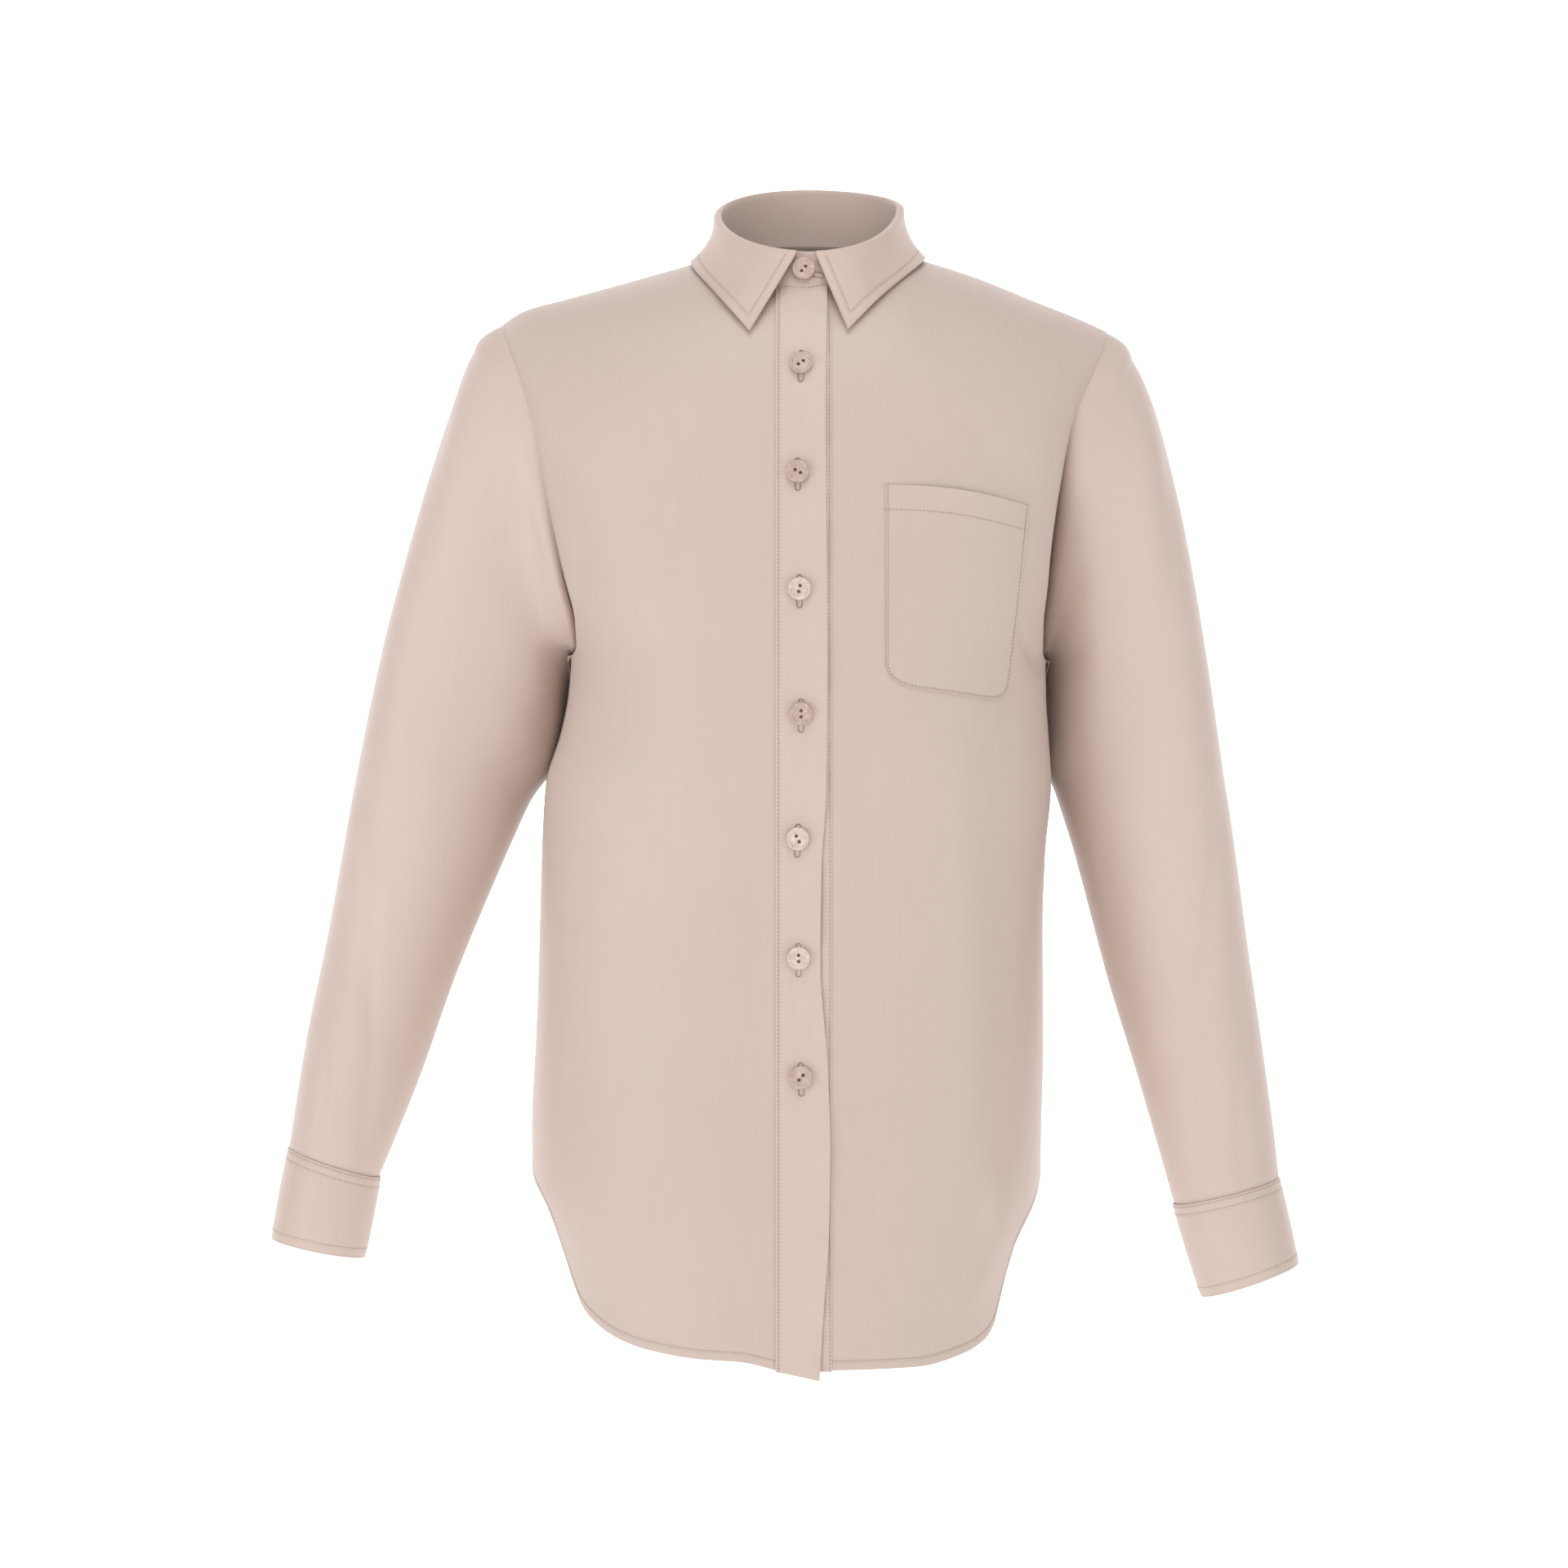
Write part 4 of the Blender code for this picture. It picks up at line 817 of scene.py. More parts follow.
sleeves = {
    "rings": {  # outer x and drop, inner x and drop, half depth, outer y, inner y, squareness
        right: (
            (0.1890, 0.0376, 0.1456, 0.2500, 0.0600, -0.003, -0.003, 2.4),
            (0.2078, 0.0560, 0.1466, 0.2548, 0.0600, -0.003, 0.010, 2.5),
            (0.2235, 0.0965, 0.1468, 0.2650, 0.0600, -0.005, 0.022, 2.6),
            (0.2378, 0.1435, 0.1488, 0.2840, 0.0600, -0.007, 0.026, 2.6),
            (0.2550, 0.2060, 0.1535, 0.3120, 0.0590, -0.008, 0.030, 2.5),
            (0.2702, 0.2690, 0.1725, 0.3400, 0.0560, -0.008, 0.024, 2.3),
            (0.2830, 0.3310, 0.1862, 0.3700, 0.0520, -0.010, 0.014, 2.1),
            (0.3000, 0.4250, 0.2214, 0.4560, 0.0460, -0.010, 0.004, 2.0),
            (0.3120, 0.4870, 0.2426, 0.5180, 0.0415, -0.016, -0.008, 2.0),
            (0.3233, 0.5600, 0.2668, 0.5790, 0.0345, -0.024, -0.024, 2.0),
        ),
        left: (
            (0.1950, 0.0426, 0.1562, 0.2530, 0.0600, -0.003, -0.003, 2.4),
            (0.2113, 0.0600, 0.1570, 0.2580, 0.0600, -0.003, 0.010, 2.4),
            (0.2274, 0.0965, 0.1545, 0.2680, 0.0600, -0.005, 0.022, 2.4),
            (0.2389, 0.1435, 0.1570, 0.2870, 0.0600, -0.006, 0.026, 2.3),
            (0.2503, 0.2060, 0.1570, 0.3120, 0.0580, -0.007, 0.030, 2.2),
            (0.2607, 0.2690, 0.1655, 0.3400, 0.0555, -0.007, 0.024, 2.2),
            (0.2701, 0.3310, 0.1738, 0.3680, 0.0525, -0.008, 0.014, 2.1),
            (0.2831, 0.4250, 0.1970, 0.4560, 0.0470, -0.010, 0.004, 2.0),
            (0.2915, 0.4870, 0.2137, 0.5130, 0.0425, -0.016, -0.008, 2.0),
            (0.3022, 0.5790, 0.2365, 0.5960, 0.0360, -0.026, -0.026, 2.0),
        ),
    },
    "cuffEnd": {
        right: (0.3335, 0.6170, 0.2763, 0.6290, 0.0315, -0.029, -0.029, 2.0),
        left: (0.3138, 0.6325, 0.2540, 0.6535, 0.0320, -0.031, -0.031, 2.0),
    },
    "capRounding": 0.0035,
    "capReach": 3.0,
    "clearance": 0.0022,
    "touch": 0.0008,
    "clearFrom": (0.004, 0.020),  # y where the sleeve starts to stand clear of the body, and the way forward
    "columns": 96,
    "perPlace": 14,
    "tuck": (0.001, 0.006),  # how far the two last rings run on into the cuff
    "tuckIn": 0.0009,
    "radius": 0.050,
    "unevenness": 0.0008,
    "waves": (20.0, 11.0, 0.6),  # as on the body
    "fades": (0.030, 0.020),  # where folds fade out at the armhole and at the cuff
    "cuffDip": 0.6,  # the cuff seam dips by this share of the armhole seam
    "inside": (0.35, 0.95, 0.5),  # share of the folds left next to the body, its place, its way
    # turn and length of each end in metres round and along the sleeve, width, height, bow
    "folds": (
        (0.010, 0.060, 0.050, 0.200, 0.016, -0.0014, 0.004),
        (0.075, 0.180, 0.060, 0.420, 0.018, 0.0016, 0.004),
        (0.110, 0.150, 0.140, 0.330, 0.013, -0.0016, 0.004),
        (0.020, 0.300, 0.110, 0.400, 0.013, -0.0014, 0.006),
        (0.140, 0.290, 0.060, 0.370, 0.011, -0.0012, -0.005),
        (0.050, 0.430, 0.080, 0.540, 0.010, -0.0011, 0.002),
        (0.120, 0.420, 0.100, 0.545, 0.010, 0.0011, 0.002),
        (0.200, 0.060, 0.210, 0.230, 0.016, -0.0016, 0.004),
        (0.250, 0.180, 0.230, 0.430, 0.018, 0.0016, -0.004),
        (0.290, 0.300, 0.200, 0.390, 0.013, -0.0014, 0.005),
        (0.240, 0.430, 0.225, 0.540, 0.010, -0.0011, 0.002),
    ),
}
cuffs = {
    "lapAt": 262,
    "lap": 42,
    "spiral": 0.00095,
    "columns": 150,
    "rows": 16,
    "proud": 0.0004,
    "swell": 0.0007,
    "stitches": ((0.0014, False), (0.0062, False), (0.0062, True)),  # inset, from the lower edge
    "buttonAt": 0.11,  # share of the band's columns from the lap's end
}


def ringPoints(row, turns):  # turn 0 at the outer arm, 90 at the front, 180 inside
    outerX, outerDrop, innerX, innerDrop, halfDepth, outerY, innerY, power = row
    outer = np.array([outerX, outerY, -outerDrop])
    inner = np.array([innerX, innerY, -innerDrop])
    centre = (outer + inner) / 2
    angle = np.radians(turns)[:, None]
    forward = np.array([0.0, -halfDepth, 0.0])
    level = np.abs(np.cos(angle)) ** power + np.abs(np.sin(angle)) ** power
    ring = np.cos(angle) * (outer - centre) + np.sin(angle) * forward
    return centre + ring / level ** (1 / power)


def clearOfBody(side, rings):  # a sleeve stays outside the body it hangs against
    out, y, drop = rings[:, :, 0], rings[:, :, 1], -rings[:, :, 2]
    clearAt, wayOn = sleeves["clearFrom"]
    room = sleeves["touch"] + (sleeves["clearance"] - sleeves["touch"]) * smoothStep((clearAt - y) / wayOn)
    for face in (front, back):
        power = body["squareness"][face]
        width = halfWidth(side, drop) + room
        reach = depthAt(face, drop) + room
        level = ((np.abs(out) / width) ** power + (np.abs(y) / reach) ** power) ** (1 / power)
        inside = (drop > body["armpit"][side]) & (level < 1) & ((y < 0) == (face == front))
        scale = np.where(inside, 1 / np.maximum(level, tiny), 1.0)
        out, y = out * scale, y * scale
    return np.stack([out, y, rings[:, :, 2]], axis=2)


def sleeveRings(side):
    columns = sleeves["columns"]
    turns = np.arange(columns) * 360 / columns
    table = sleeves["rings"][side]
    last = len(table) - 1
    places = np.linspace(0, last, last * sleeves["perPlace"] + 1)
    keys = np.arange(len(table))
    loop = np.concatenate([armholeEdges[side, front], armholeEdges[side, back][-2:0:-1]])
    first = ringPoints(table[0], turns)
    rings = []
    for place in places:
        row = [float(along(keys, values, place)) for values in zip(*table)]
        row[0] += sleeves["capRounding"] * math.sin(math.pi * min(place, 1.0))
        kept = 1 - smoothStep(place / sleeves["capReach"])
        rings.append(ringPoints(row, turns) + (loop - first) * kept)
    rings = np.array(rings)
    rings[1:] = clearOfBody(side, rings[1:])
    return rings, turns


def tucked(rings):  # the end runs on inside the cuff
    way = unit(rings[-1] - rings[-3])
    inward = unit(rings[-1].mean(axis=0) - rings[-1]) * sleeves["tuckIn"]
    return np.concatenate([rings, np.array([rings[-1] + way * far + inward for far in sleeves["tuck"]])])


def sleeveGrid(side):  # the rings with their folds, on the right arm's side
    rings, turns = sleeveRings(side)
    outward = ringNormals(rings)
    length = rowDistance(rings)
    around = np.radians(turns)[None] * sleeves["radius"] + 0 * length
    circle = 2 * math.pi * sleeves["radius"]
    height = sum(foldHeight(around + shift, length, sleeves["folds"]) for shift in (-circle, 0.0, circle))
    scale, seed, drawnOut = sleeves["waves"]
    height += sleeves["unevenness"] * softNoise(rings * [1, 1, drawnOut], scale, seed * side)
    rest = length[-1:] - length
    top, low = sleeves["fades"]
    least, place, way = sleeves["inside"]
    fade = smoothStep(length / top) * smoothStep(rest / low)
    fade = fade * (least + (1 - least) * smoothStep((np.cos(np.radians(turns))[None] + place) / way))
    height = height * fade + seamPull(length) + sleeves["cuffDip"] * seamPull(rest)
    rings = rings + outward * height[:, :, None]
    inFront, behind = (curveDistance(rings * [1, 0, 1], foldEdge(side, face)) for face in (front, back))
    depth, width = foldDepth(side, rings, turns[None], "sleeve")
    away = 1 - np.minimum(np.where(rings[:, :, 1] < 0, inFront, behind) / width, 1.0)
    rings[:, :, 1] += depth * (1 - np.sqrt(1 - away**2))
    return tucked(rings)


def cuffGrid(side):
    turns = np.linspace(cuffs["lapAt"] - 360, cuffs["lapAt"] + cuffs["lap"], cuffs["columns"])
    top = ringPoints(sleeves["rings"][side][-1], turns)
    low = ringPoints(sleeves["cuffEnd"][side], turns)
    shift = np.linspace(-cuffs["spiral"], cuffs["spiral"], len(turns))[:, None]
    rows = []
    for share in np.linspace(0, 1, cuffs["rows"]):
        ring = top + (low - top) * share
        swell = cuffs["swell"] * math.sin(math.pi * share) ** 0.5
        rows.append(ring + unit(ring - ring.mean(axis=0)) * (shift + cuffs["proud"] + swell))
    return np.array(rows)


def onArm(side, grid):  # the grid on its own side of the body, its faces still turned outward
    return grid * [side, 1, 1] if side == right else (grid * [side, 1, 1])[:, ::-1]


cuffBands = {}
for side in (right, left):
    sewnPiece("sleeve", onArm(side, sleeveGrid(side)), side=side, ring=True)
    rows = cuffBands[side] = cuffGrid(side)
    cuffOut = gridNormals(rows, middle=rows.mean(axis=(0, 1)))
    fromTop, fromEnd = rowDistance(rows), fromLow(rows)
    for inset, low in cuffs["stitches"]:
        path = crossings(rows, cuffOut, fromEnd if low else fromTop, inset, stitchLift, reverse=low)
        stitchRuns["cuffStitches"].append(path * [side, 1, 1])
    near = np.minimum(fromTop, fromEnd)
    sewnPiece("cuff", onArm(side, rows), near if side == right else near[:, ::-1], side)
print("sleeves and cuffs made")

collar = {
    "foldCentre": 0.0055,
    "foldHalfWidth": 0.0558,
    "foldDepth": {front: 0.066, back: 0.053},
    "foldRise": {front: 0.0012, back: 0.0545},
    "sideRise": {right: 0.0325, left: 0.0375},
    "standEnds": (17.0, -375.0),
    "lapLift": 0.00085,
    "lapReach": 60.0,
    "leafEnds": (-8.0, -356.0),
    "roll": 0.0022,
    "flare": 1.1,
    "flareFrom": 0.45,
    "rise": 0.0012,
    "seamGap": 0.0006,
    "neckGap": 0.0006,
    "innerRows": (0.35, 0.70, 1.0),  # shares of the way from the stand's top to the crest of the fold
    "innerLean": 0.3,
    "leafStart": 0.8,  # share of the roll's radius
    "rollFrom": 0.75,  # share of a half turn
    "edge": (  # share of the way, x, y, drop
        (0.00, -0.0317, -0.0935, 0.0505), (0.12, -0.0505, -0.0760, 0.0275),
        (0.25, -0.0695, -0.0240, 0.0010), (0.30, -0.0690, 0.0000, -0.0022),
        (0.36, -0.0640, 0.0330, -0.0010), (0.50, 0.0060, 0.0715, -0.0080),
        (0.64, 0.0760, 0.0330, -0.0030), (0.70, 0.0785, 0.0000, -0.0044),
        (0.75, 0.0790, -0.0240, -0.0020), (0.88, 0.0505, -0.0760, 0.0265),
        (1.00, 0.0290, -0.0935, 0.0495),
    ),
    "columns": 181,
    "standRows": 14,
    "leafRows": 26,
    "rollSteps": 13,
    "stitchIn": 0.0060,
    "standStitchIn": 0.0016,
    "standStitchLift": 0.0008,
}


def foldLine(turn):
    angle = math.radians(turn)
    level = math.cos(angle)
    face = front if level > 0 else back
    x = collar["foldCentre"] + collar["foldHalfWidth"] * math.sin(angle)
    y = face * collar["foldDepth"][face] * abs(level)
    blend = (1 + math.sin(angle)) / 2
    rise = collar["sideRise"][right] + (collar["sideRise"][left] - collar["sideRise"][right]) * blend
    return np.array([x, y, rise + (collar["foldRise"][face] - rise) * abs(level)])


def neckRing(turn):
    angle = math.radians(turn)
    face = front if math.cos(angle) > 0 else back
    side = left if math.sin(angle) > 0 else right
    out = body["neckSide"][side] * abs(math.sin(angle))
    drop = float(neckDropAt(side, face, out))
    return np.array([side * out, float(skinY(side, face, out, drop)), -drop])


def lapLift(turn):
    start, end = collar["standEnds"]
    over = 1 - smoothStep((start - turn) / collar["lapReach"])
    beneath = 1 - smoothStep((turn - end) / collar["lapReach"])
    return collar["lapLift"] * float(over - beneath)


def levelOut(turn):
    angle = math.radians(turn)
    return np.array([math.sin(angle), -math.cos(angle), 0.0])


def standPoint(turn, share):
    low = neckRing(turn)
    top = foldLine(turn) - np.array([0, 0, collar["roll"] + collar["rise"]])
    low = low + unit(top - low) * collar["neckGap"]
    return low + (top - low) * share + levelOut(turn) * lapLift(turn)


def collarFrame(turn):  # the stand's top, the way up along it and the way out
    seam = standPoint(turn, 1.0)
    run = unit(standPoint(turn - 1.0, 1.0) - standPoint(turn + 1.0, 1.0))
    out = unit(levelOut(turn) - run * (levelOut(turn) @ run))
    up = np.cross(run, out)
    return seam, up * math.copysign(1.0, up[2]), out


turns = np.linspace(*collar["standEnds"], collar["columns"])
stand = [[standPoint(t, share) for t in turns] for share in np.linspace(1, 0, collar["standRows"])]
crest = collar["rise"] + collar["roll"]
for reach in collar["innerRows"]:  # the inner layer runs up to the crest of the fold
    row = []
    for turn in turns:
        seam, up, out = collarFrame(turn)
        row.append(seam + up * crest * reach + out * collar["roll"] * collar["innerLean"] * reach**2)
    stand.insert(0, row)
stand = np.array(stand)
sewnPiece("collar_stand", stand)
inset, lift = collar["standStitchIn"], collar["standStitchLift"]
stitchRuns["collarStitches"].append(crossings(stand, gridNormals(stand), fromLow(stand), inset, lift))

turns = np.linspace(*collar["leafEnds"], collar["columns"])
shares = np.linspace(0, 1, len(turns))
leafEdge = np.stack([lookUp(collar["edge"], k, shares) for k in (1, 2, 3)], axis=1)
leafEdge[:, 2] *= -1
lines = []
for turn, low in zip(turns, leafEdge):
    seam, up, out = collarFrame(turn)
    line = [seam + up * collar["seamGap"] + out * collar["roll"] * collar["leafStart"]]
    centre = seam + up * collar["rise"] + out * collar["roll"]
    for angle in np.linspace(collar["rollFrom"] * math.pi, 0, collar["rollSteps"]):
        line.append(centre + collar["roll"] * (math.cos(angle) * out + math.sin(angle) * up))
    start = line[-1]
    sideways = (abs(math.sin(math.radians(turn))) - collar["flareFrom"]) / (1 - collar["flareFrom"])
    flare = 1 + collar["flare"] * float(smoothStep(sideways))
    for share in np.linspace(0, 1, collar["leafRows"] + 1)[1:]:
        line.append(start + (low - start) * np.array([share**flare, share**flare, share]))
    lines.append(line)
leaf = np.array(lines).transpose(1, 0, 2)
leafOut = gridNormals(leaf)
facing = (leafOut * np.array([levelOut(t) for t in turns])[None]).sum(axis=2, keepdims=True)
leafOut = np.where(facing < 0, -leafOut, leafOut)
startEdge, lowEdge, endEdge = leaf[:, 0], leaf[-1], leaf[:, -1]
edgeGaps = [curveDistance(leaf, edge) for edge in (startEdge, lowEdge, endEdge)]
sewnPiece("collar_leaf", leaf, np.minimum.reduce(edgeGaps))


def parallelRow(points, outward, field, others, reverse=True):  # stitching kept clear of other edges
    kept = []
    for k in range(points.shape[1]):
        one = slice(k, k + 1)
        level = collar["stitchIn"]
        spot = crossings(points[:, one], outward[:, one], field[:, one], level, stitchLift, reverse)
        if len(spot) and all(curveDistance(spot[None], edge)[0, 0] >= level for edge in others):
            kept.append(spot[0])
    return kept


skip = collar["rollSteps"] + 1
leafTurned, outTurned = (grid.transpose(1, 0, 2)[:, skip:] for grid in (leaf, leafOut))
startRow = parallelRow(leafTurned, outTurned, edgeGaps[0].T[:, skip:], [lowEdge], False)
lowRow = parallelRow(leaf, leafOut, edgeGaps[1], [startEdge, endEdge])
endRow = parallelRow(leafTurned, outTurned, edgeGaps[2].T[:, skip:], [lowEdge])
stitchRuns["collarStitches"].append(np.array(startRow + lowRow + endRow[::-1]))
print("collar made")

pocket = {
    "topInner": (0.0517, 0.1471),
    "topOuter": (0.1415, 0.1583),
    "lowInner": (0.0517, 0.2700),
    "lowOuter": (0.1275, 0.2800),
    "cornerInner": (0.24, 0.10),
    "cornerOuter": (0.16, 0.09),
    "columns": 61,
    "rows": 61,
    "lift": 0.0008,
    "gape": (0.0016, 0.10),  # how far the mouth stands open, share of the height where it closes
    "sag": 0.0030,
    "hem": 0.0155,
    "stitchIn": 0.0015,
}
across = np.linspace(0, 1, pocket["columns"])
innerShare, innerRise = pocket["cornerInner"]
outerShare, outerRise = pocket["cornerOuter"]
low = np.ones_like(across)
nearInner = np.clip(1 - across / innerShare, 0, 1)
nearOuter = np.clip(1 - (1 - across) / outerShare, 0, 1)
low -= innerRise * (1 - np.sqrt(1 - nearInner**2)) + outerRise * (1 - np.sqrt(1 - nearOuter**2))
down = np.linspace(0, 1, pocket["rows"])[:, None] * low[None]
corner = {key: np.array(pocket[key]) for key in ("topInner", "topOuter", "lowInner", "lowOuter")}
spread = across[None, :, None]
topLine = corner["topInner"] * (1 - spread) + corner["topOuter"] * spread
lowLine = corner["lowInner"] * (1 - spread) + corner["lowOuter"] * spread
place = topLine + (lowLine - topLine) * down[:, :, None]
# the top edge runs level and then dips towards the side
sag = pocket["sag"] * np.sin(np.pi * across)[None] * (1 - down) ** 2
points, outward = skinGrid(place[:, :, 0], place[:, :, 1] - sag)
widest, closes = pocket["gape"]
gape = widest * np.sin(np.pi * across)[None] * np.exp(-down / closes)
lift = pocket["lift"] + gape + relief(points, front)
pocketPoints = points + outward * lift[:, :, None]
fall = rowDistance(pocketPoints)
toSide, toLow = fromSide(pocketPoints), fromLow(pocketPoints)
sideGap = np.minimum(toSide, toSide[:, :1] - toSide)
sewnPiece("pocket", pocketPoints, np.minimum(sideGap, toLow))
hemRow = crossings(pocketPoints, outward, fall, pocket["hem"], stitchLift, reverse=False)
inset = pocket["stitchIn"]
ends = [k for k in range(len(across)) if sideGap[0, k] >= inset]
raised = pocketPoints + outward * stitchLift
lowRow = crossings(pocketPoints, outward, toLow, inset, stitchLift)[ends[0] + 1 : ends[-1]]
rise = range(pocket["rows"] - 2)
outline = [raised[r, ends[0]] for r in rise] + list(lowRow) + [raised[r, ends[-1]] for r in reversed(rise)]
stitchRuns["bodyStitches"] += [hemRow, np.array(outline)]
print("pocket made")


def stitchTree():
    tree = bpy.data.node_groups.new("stitchTree", "GeometryNodeTree")
    face = tree.interface
    face.new_socket("Geometry", in_out="INPUT", socket_type="NodeSocketGeometry")
    for label, default in (("Pitch", 0.0026), ("Radius", 0.0002), ("Length", 0.0018)):
        face.new_socket(label, in_out="INPUT", socket_type="NodeSocketFloat").default_value = default
    face.new_socket("Thread", in_out="INPUT", socket_type="NodeSocketMaterial")
    face.new_socket("Geometry", in_out="OUTPUT", socket_type="NodeSocketGeometry")
    given = node(tree, "NodeGroupInput")
    curve = node(tree, "GeometryNodeMeshToCurve", {"Mesh": (given, "Geometry")}), "Curve"
    spread = {"Curve": curve, "Length": (given, "Pitch")}
    spaced = node(tree, "GeometryNodeCurveToPoints", spread, mode="LENGTH")
    ball = node(tree, "GeometryNodeMeshUVSphere", {"Segments": 6, "Rings": 5, "Radius": 1.0}), "Mesh"
    radius, half = (given, "Radius"), mathNode(tree, "MULTIPLY", (given, "Length"), 0.5)
    size = node(tree, "ShaderNodeCombineXYZ", {"X": radius, "Y": radius, "Z": half}), "Vector"
    repeat = node(tree, "GeometryNodeInstanceOnPoints", {
        "Points": (spaced, "Points"), "Rotation": (spaced, "Rotation"), "Instance": ball, "Scale": size,
    })
    real = node(tree, "GeometryNodeRealizeInstances", {"Geometry": (repeat, "Instances")})
    smooth = node(tree, "GeometryNodeSetShadeSmooth", {"Geometry": (real, "Geometry")})
    finish = {"Geometry": (smooth, "Geometry"), "Material": (given, "Thread")}
    coloured = node(tree, "GeometryNodeSetMaterial", finish)
    node(tree, "NodeGroupOutput", {"Geometry": (coloured, "Geometry")})
    return tree


def sew(name, runs, pitch, radius, length):  # rows of stitches along paths
    spots, links = [], []
    for run in runs:
        first = len(spots)
        spots += [tuple(p) for p in run]
        links += [(first + i, first + i + 1) for i in range(len(run) - 1)]
    mesh = bpy.data.meshes.new(name)
    mesh.from_pydata(spots, links, [])
    # stitches and buttonholes take the darkened thread colour, painted shade of the stitch pits
    mesh.materials.append(materials["threadPaintedShade"])
    row = addObject(name, mesh)
    repeat = row.modifiers.new("Stitches", "NODES")
    repeat.node_group = stitchNodes
    inputs = {"Pitch": pitch, "Radius": radius, "Length": length, "Thread": materials["threadPaintedShade"]}
    for item in stitchNodes.interface.items_tree:
        if item.name in inputs:
            repeat[item.identifier] = inputs[item.name]
    settle(row)
    dress(row, [])


stitchNodes = stitchTree()
for name, (slotName, radius) in stitches.items():
    sew(name, stitchRuns[name], stitchPitch, radius, stitchPitch * stitchShare)

# Buttonholes: a dense ring of thread round a slit.
holes = {
    "length": 0.0205,
    "width": 0.0032,
    "below": 0.0012,
    "lift": 0.00055,
    "collarLength": 0.0165,
    "collarAt": 0.004,
    "collarLift": 0.0008,
    "pitch": 0.00060,
    "radius": 0.00034,
    "stitch": 0.0009,
    "rowsBeside": 3,  # rows above and below that give the upward direction
    "steps": 60,
}


def slotPath(centre, sideways, upward, length):  # a path round a long slot
    width, count = holes["width"], holes["steps"]
    straight = length - width
    rounding = math.pi * width / 2
    total = 2 * (straight + rounding)
    radius, half = width / 2, straight + rounding
    path = []
    for k in range(count + 1):
        s = (k % count) * total / count
        turned = 1 if s < half else -1
        s = s if turned == 1 else s - half
        u, v = radius, -straight / 2 + s
        if s >= straight:
            angle = (s - straight) / radius
            u, v = radius * math.cos(angle), straight / 2 + radius * math.sin(angle)
        path.append(centre + sideways * turned * u + upward * turned * v)
    return path


middle = plackets["columns"] // 2
drops = -upper[:, middle, 2]
loops = []
for x, drop, turn, finish in buttonPlaces:
    at = drop + holes["below"]
    row = int(np.searchsorted(drops, at))
    centre = np.array([x, np.interp(at, drops, upper[:, middle, 1]), -at])
    outwardHere = upperNormals[row, middle]
    upward = unit(upper[row - holes["rowsBeside"], middle] - upper[row + holes["rowsBeside"], middle])
    centre = centre + outwardHere * holes["lift"]
    loops.append(slotPath(centre, np.cross(upward, outwardHere), upward, holes["length"]))
angle = math.degrees(math.asin(holes["collarAt"] / body["neckSide"][left]))
centre = standPoint(angle, 0.5) + levelOut(angle) * holes["collarLift"]
upward = unit(standPoint(angle, 1.0) - standPoint(angle, 0.0))
loops.append(slotPath(centre, upward, np.cross(upward, levelOut(angle)), holes["collarLength"]))
sew("buttonholes", loops, holes["pitch"], holes["radius"], holes["stitch"])
print("stitching made")

# Buttons, turned, with a raised rim and two holes.
button = {
    "radius": 0.0070,
    "thickness": 0.0026,
    "rim": 0.0013,
    "dish": 0.0007,
    "round": 0.0005,
    "foot": 0.0010,
    "holeRadius": 0.00110,
    "holeSpacing": 0.0038,
    "steps": 72,
    "seat": 0.0016,
    # past the rim's inner edge and below the face
    "slope": ((-0.0010, 0.0007), (-0.0005, 0.0006), (0.0, 0.0002), (0.0003, 0.0)),
    "bevel": 0.0004,
    "bendSteps": 4,
    "holeSides": 24,
    "merge": 0.00001,
    "onCollar": (-0.0015, 0.0105, 40),  # x, drop, turn
}


def buttonMesh():
    face, radius, bend = button["thickness"], button["radius"], button["round"]
    inner = radius - button["rim"]
    profile = [(0.0, face - button["dish"])]
    profile += [(inner + past, face - below) for past, below in button["slope"]]
    for k in range(button["bendSteps"] + 1):
        angle = math.pi / 2 * (1 - k / button["bendSteps"])
        profile.append((radius - bend + bend * math.cos(angle), face - bend + bend * math.sin(angle)))
    foot, bevel = button["foot"], button["bevel"]
    profile += [(radius, foot), (radius - bevel, bevel), (radius - foot, 0.0), (0.0, 0.0)]
    shape = bpy.data.meshes.new("buttonProfile")
    shape.from_pydata([(r, 0, z) for r, z in profile], [(i, i + 1) for i in range(len(profile) - 1)], [])
    blank = addObject("buttonBlank", shape)
    turned = blank.modifiers.new("Turn", "SCREW")
    turned.steps = turned.render_steps = button["steps"]
    turned.use_merge_vertices, turned.merge_threshold = True, button["merge"]
    drills = bmesh.new()
    for offset in (-button["holeSpacing"] / 2, button["holeSpacing"] / 2):
        size = {"radius1": button["holeRadius"], "radius2": button["holeRadius"], "depth": face * 3}
        place = Matrix.Translation((0, offset, face / 2))
        bmesh.ops.create_cone(drills, cap_ends=True, segments=button["holeSides"], matrix=place, **size)
    drillMesh = bpy.data.meshes.new("buttonDrill")
    drills.to_mesh(drillMesh)
    drills.free()
    drill = addObject("buttonDrill", drillMesh)
    cut = blank.modifiers.new("Holes", "BOOLEAN")
    cut.object = drill
    settle(blank, sharpFrom["button"])
    mesh = blank.data
    for helper in (blank, drill):
        bpy.data.objects.remove(helper, do_unlink=True)
    mesh.shade_smooth()
    mesh.set_sharp_from_angle(angle=math.radians(sharpFrom["button"]))
    return mesh


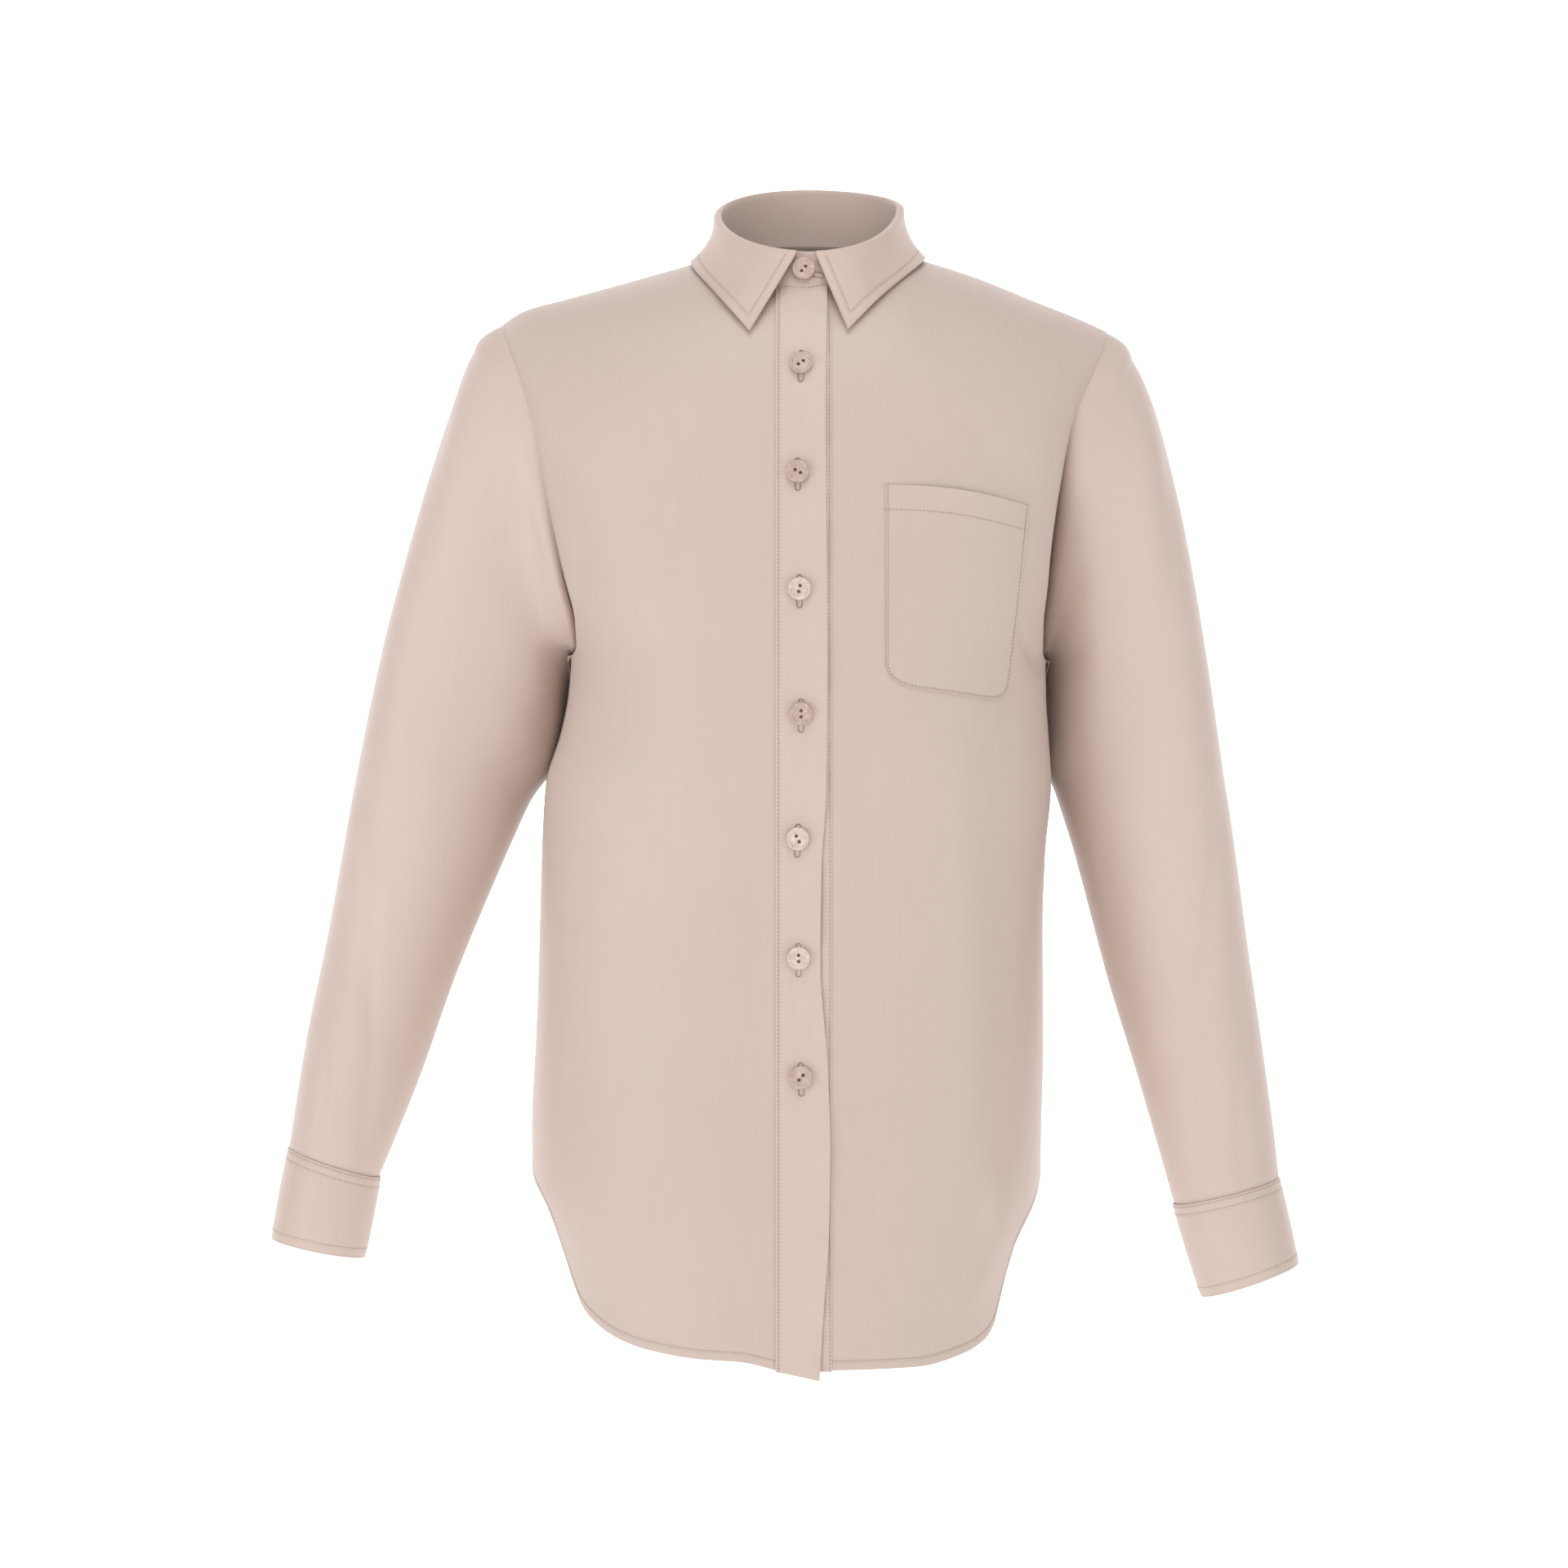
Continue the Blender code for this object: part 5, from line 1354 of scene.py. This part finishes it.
def placeButton(name, source, point, normal, turn, finish):
    normal = Vector(normal).normalized()
    side = Vector((0, 0, 1)).cross(normal).normalized()
    stance = Matrix((side, normal.cross(side), normal)).transposed().to_4x4()
    mesh = source.copy()
    place = Matrix.Translation(Vector(point) + normal * button["seat"])
    mesh.transform(place @ stance @ Matrix.Rotation(math.radians(-turn), 4, "Z"))
    mesh.materials.clear()
    mesh.materials.append(materials[finish])
    dress(addObject(name + "_fine", mesh), [name])


source = buttonMesh()
for number, (x, drop, turn, finish) in enumerate(buttonPlaces, 1):
    row = int(np.argmin(np.abs(drops - drop)))
    normal = upperNormals[row, middle] * np.array([0, 1, 1])
    spot = upper[row, middle] * np.array([0, 1, 0]) + np.array([x, 0, -drop])
    placeButton(f"button_{number}", source, spot, normal, turn, finish)
x, drop, turn = button["onCollar"]
angle = math.degrees(math.asin(x / body["neckSide"][right]))
low, top = standPoint(angle, 0.0), standPoint(angle, 1.0)
share = (-drop - low[2]) / (top[2] - low[2])
lean = np.cross(top - low, (1.0, 0.0, 0.0))
lean = lean if lean[1] < 0 else -lean
placeButton("button_collar", source, standPoint(angle, share), lean, turn, "buttonMatte")
for side in (right, left):  # half way along the outer end of each cuff's lap
    band = cuffBands[side]
    half, lap = cuffs["rows"] // 2, -round(cuffs["buttonAt"] * cuffs["columns"])
    alongCuff = unit(band[half, lap] - band[half - 1, lap])
    away = band[half, lap] - band[half].mean(axis=0)
    away -= alongCuff * (away @ alongCuff)
    spot, away = band[half, lap] * [side, 1, 1], away * [side, 1, 1]
    placeButton("button_cuff_" + names[side], source, spot, away, 0, "buttonMatte")
print("buttons made")

studio = {
    "floorDrop": 0.96,
    "halfWidth": 7,
    "forward": -5,
    "behind": 4.6,
    "height": 6,
    "floorLook": ((0.92, 0.92, 0.92), 0.45),  # colour and glow
    "backdropLook": ((0.95, 0.95, 0.95), 1.0),
    "cameraDistance": 3.0,
    "lens": 108,
    "cameraAt": (-0.0104, -0.3307),
    "ambient": 0.46,
    "lights": (  # name, place, size, watts
        ("leftBox", (-2.3, -1.9, -0.45), 1.3, 17.5),
        ("rightBox", (2.3, -1.9, -0.45), 1.3, 8.0),
        ("frontBox", (0.0, -3.2, -0.25), 1.2, 3.5),
        ("topBox", (0.0, -1.0, 1.5), 1.4, 16.0),
    ),
    "aim": (0.0, 0.0, -0.33),
}


def stageMaterial(name, colour, glow):
    made, tree, shader = newMaterial(name)
    speckle = node(tree, "ShaderNodeTexNoise", {"Scale": 3.0}), "Fac"
    feed(tree, shader, {
        "Base Color": colourRamp(tree, speckle, colour, (0.99, 1.0)),
        "Roughness": 0.9,
        "Emission Color": (1.0, 1.0, 1.0, 1.0),
        "Emission Strength": glow,
    })
    return made


def stagePlane(name, farEnd, nearEnd, finish):  # y and z of its two ends
    (farY, farZ), (nearY, nearZ), wide = farEnd, nearEnd, studio["halfWidth"]
    corners = [(-wide, nearY, nearZ), (wide, nearY, nearZ), (wide, farY, farZ), (-wide, farY, farZ)]
    mesh = bpy.data.meshes.new(name)
    mesh.from_pydata(corners, [], [(0, 1, 2, 3)])
    mesh.materials.append(finish)
    addObject(name, mesh)


foot = (studio["behind"], -studio["floorDrop"])
nearEnd, topEnd = (studio["forward"], -studio["floorDrop"]), (studio["behind"], studio["height"])
stagePlane("floor", foot, nearEnd, stageMaterial("paleFloor", *studio["floorLook"]))
stagePlane("backdrop", topEnd, foot, stageMaterial("whiteBackdrop", *studio["backdropLook"]))

world = bpy.data.worlds.new("studioWorld")
world.use_nodes = True
sky = {"Color": (1.0, 1.0, 1.0, 1.0), "Strength": studio["ambient"]}
feed(world.node_tree, world.node_tree.nodes["Background"], sky)
bpy.context.scene.world = world
for name, place, size, watts in studio["lights"]:
    lamp = bpy.data.lights.new(name, "AREA")
    lamp.energy, lamp.size = watts, size
    lampObject = addObject(name, lamp)
    lampObject.location = place
    towards = Vector(studio["aim"]) - Vector(place)
    lampObject.rotation_euler = towards.to_track_quat("-Z", "Y").to_euler()
lens = bpy.data.cameras.new("studioCamera")
lens.lens = studio["lens"]
camera = addObject("studioCamera", lens)
camera.location = (studio["cameraAt"][0], -studio["cameraDistance"], studio["cameraAt"][1])
camera.rotation_euler = (math.radians(90), 0, 0)
bpy.context.scene.camera = camera
bpy.context.scene.view_settings.view_transform = "Standard"
print("studio made")
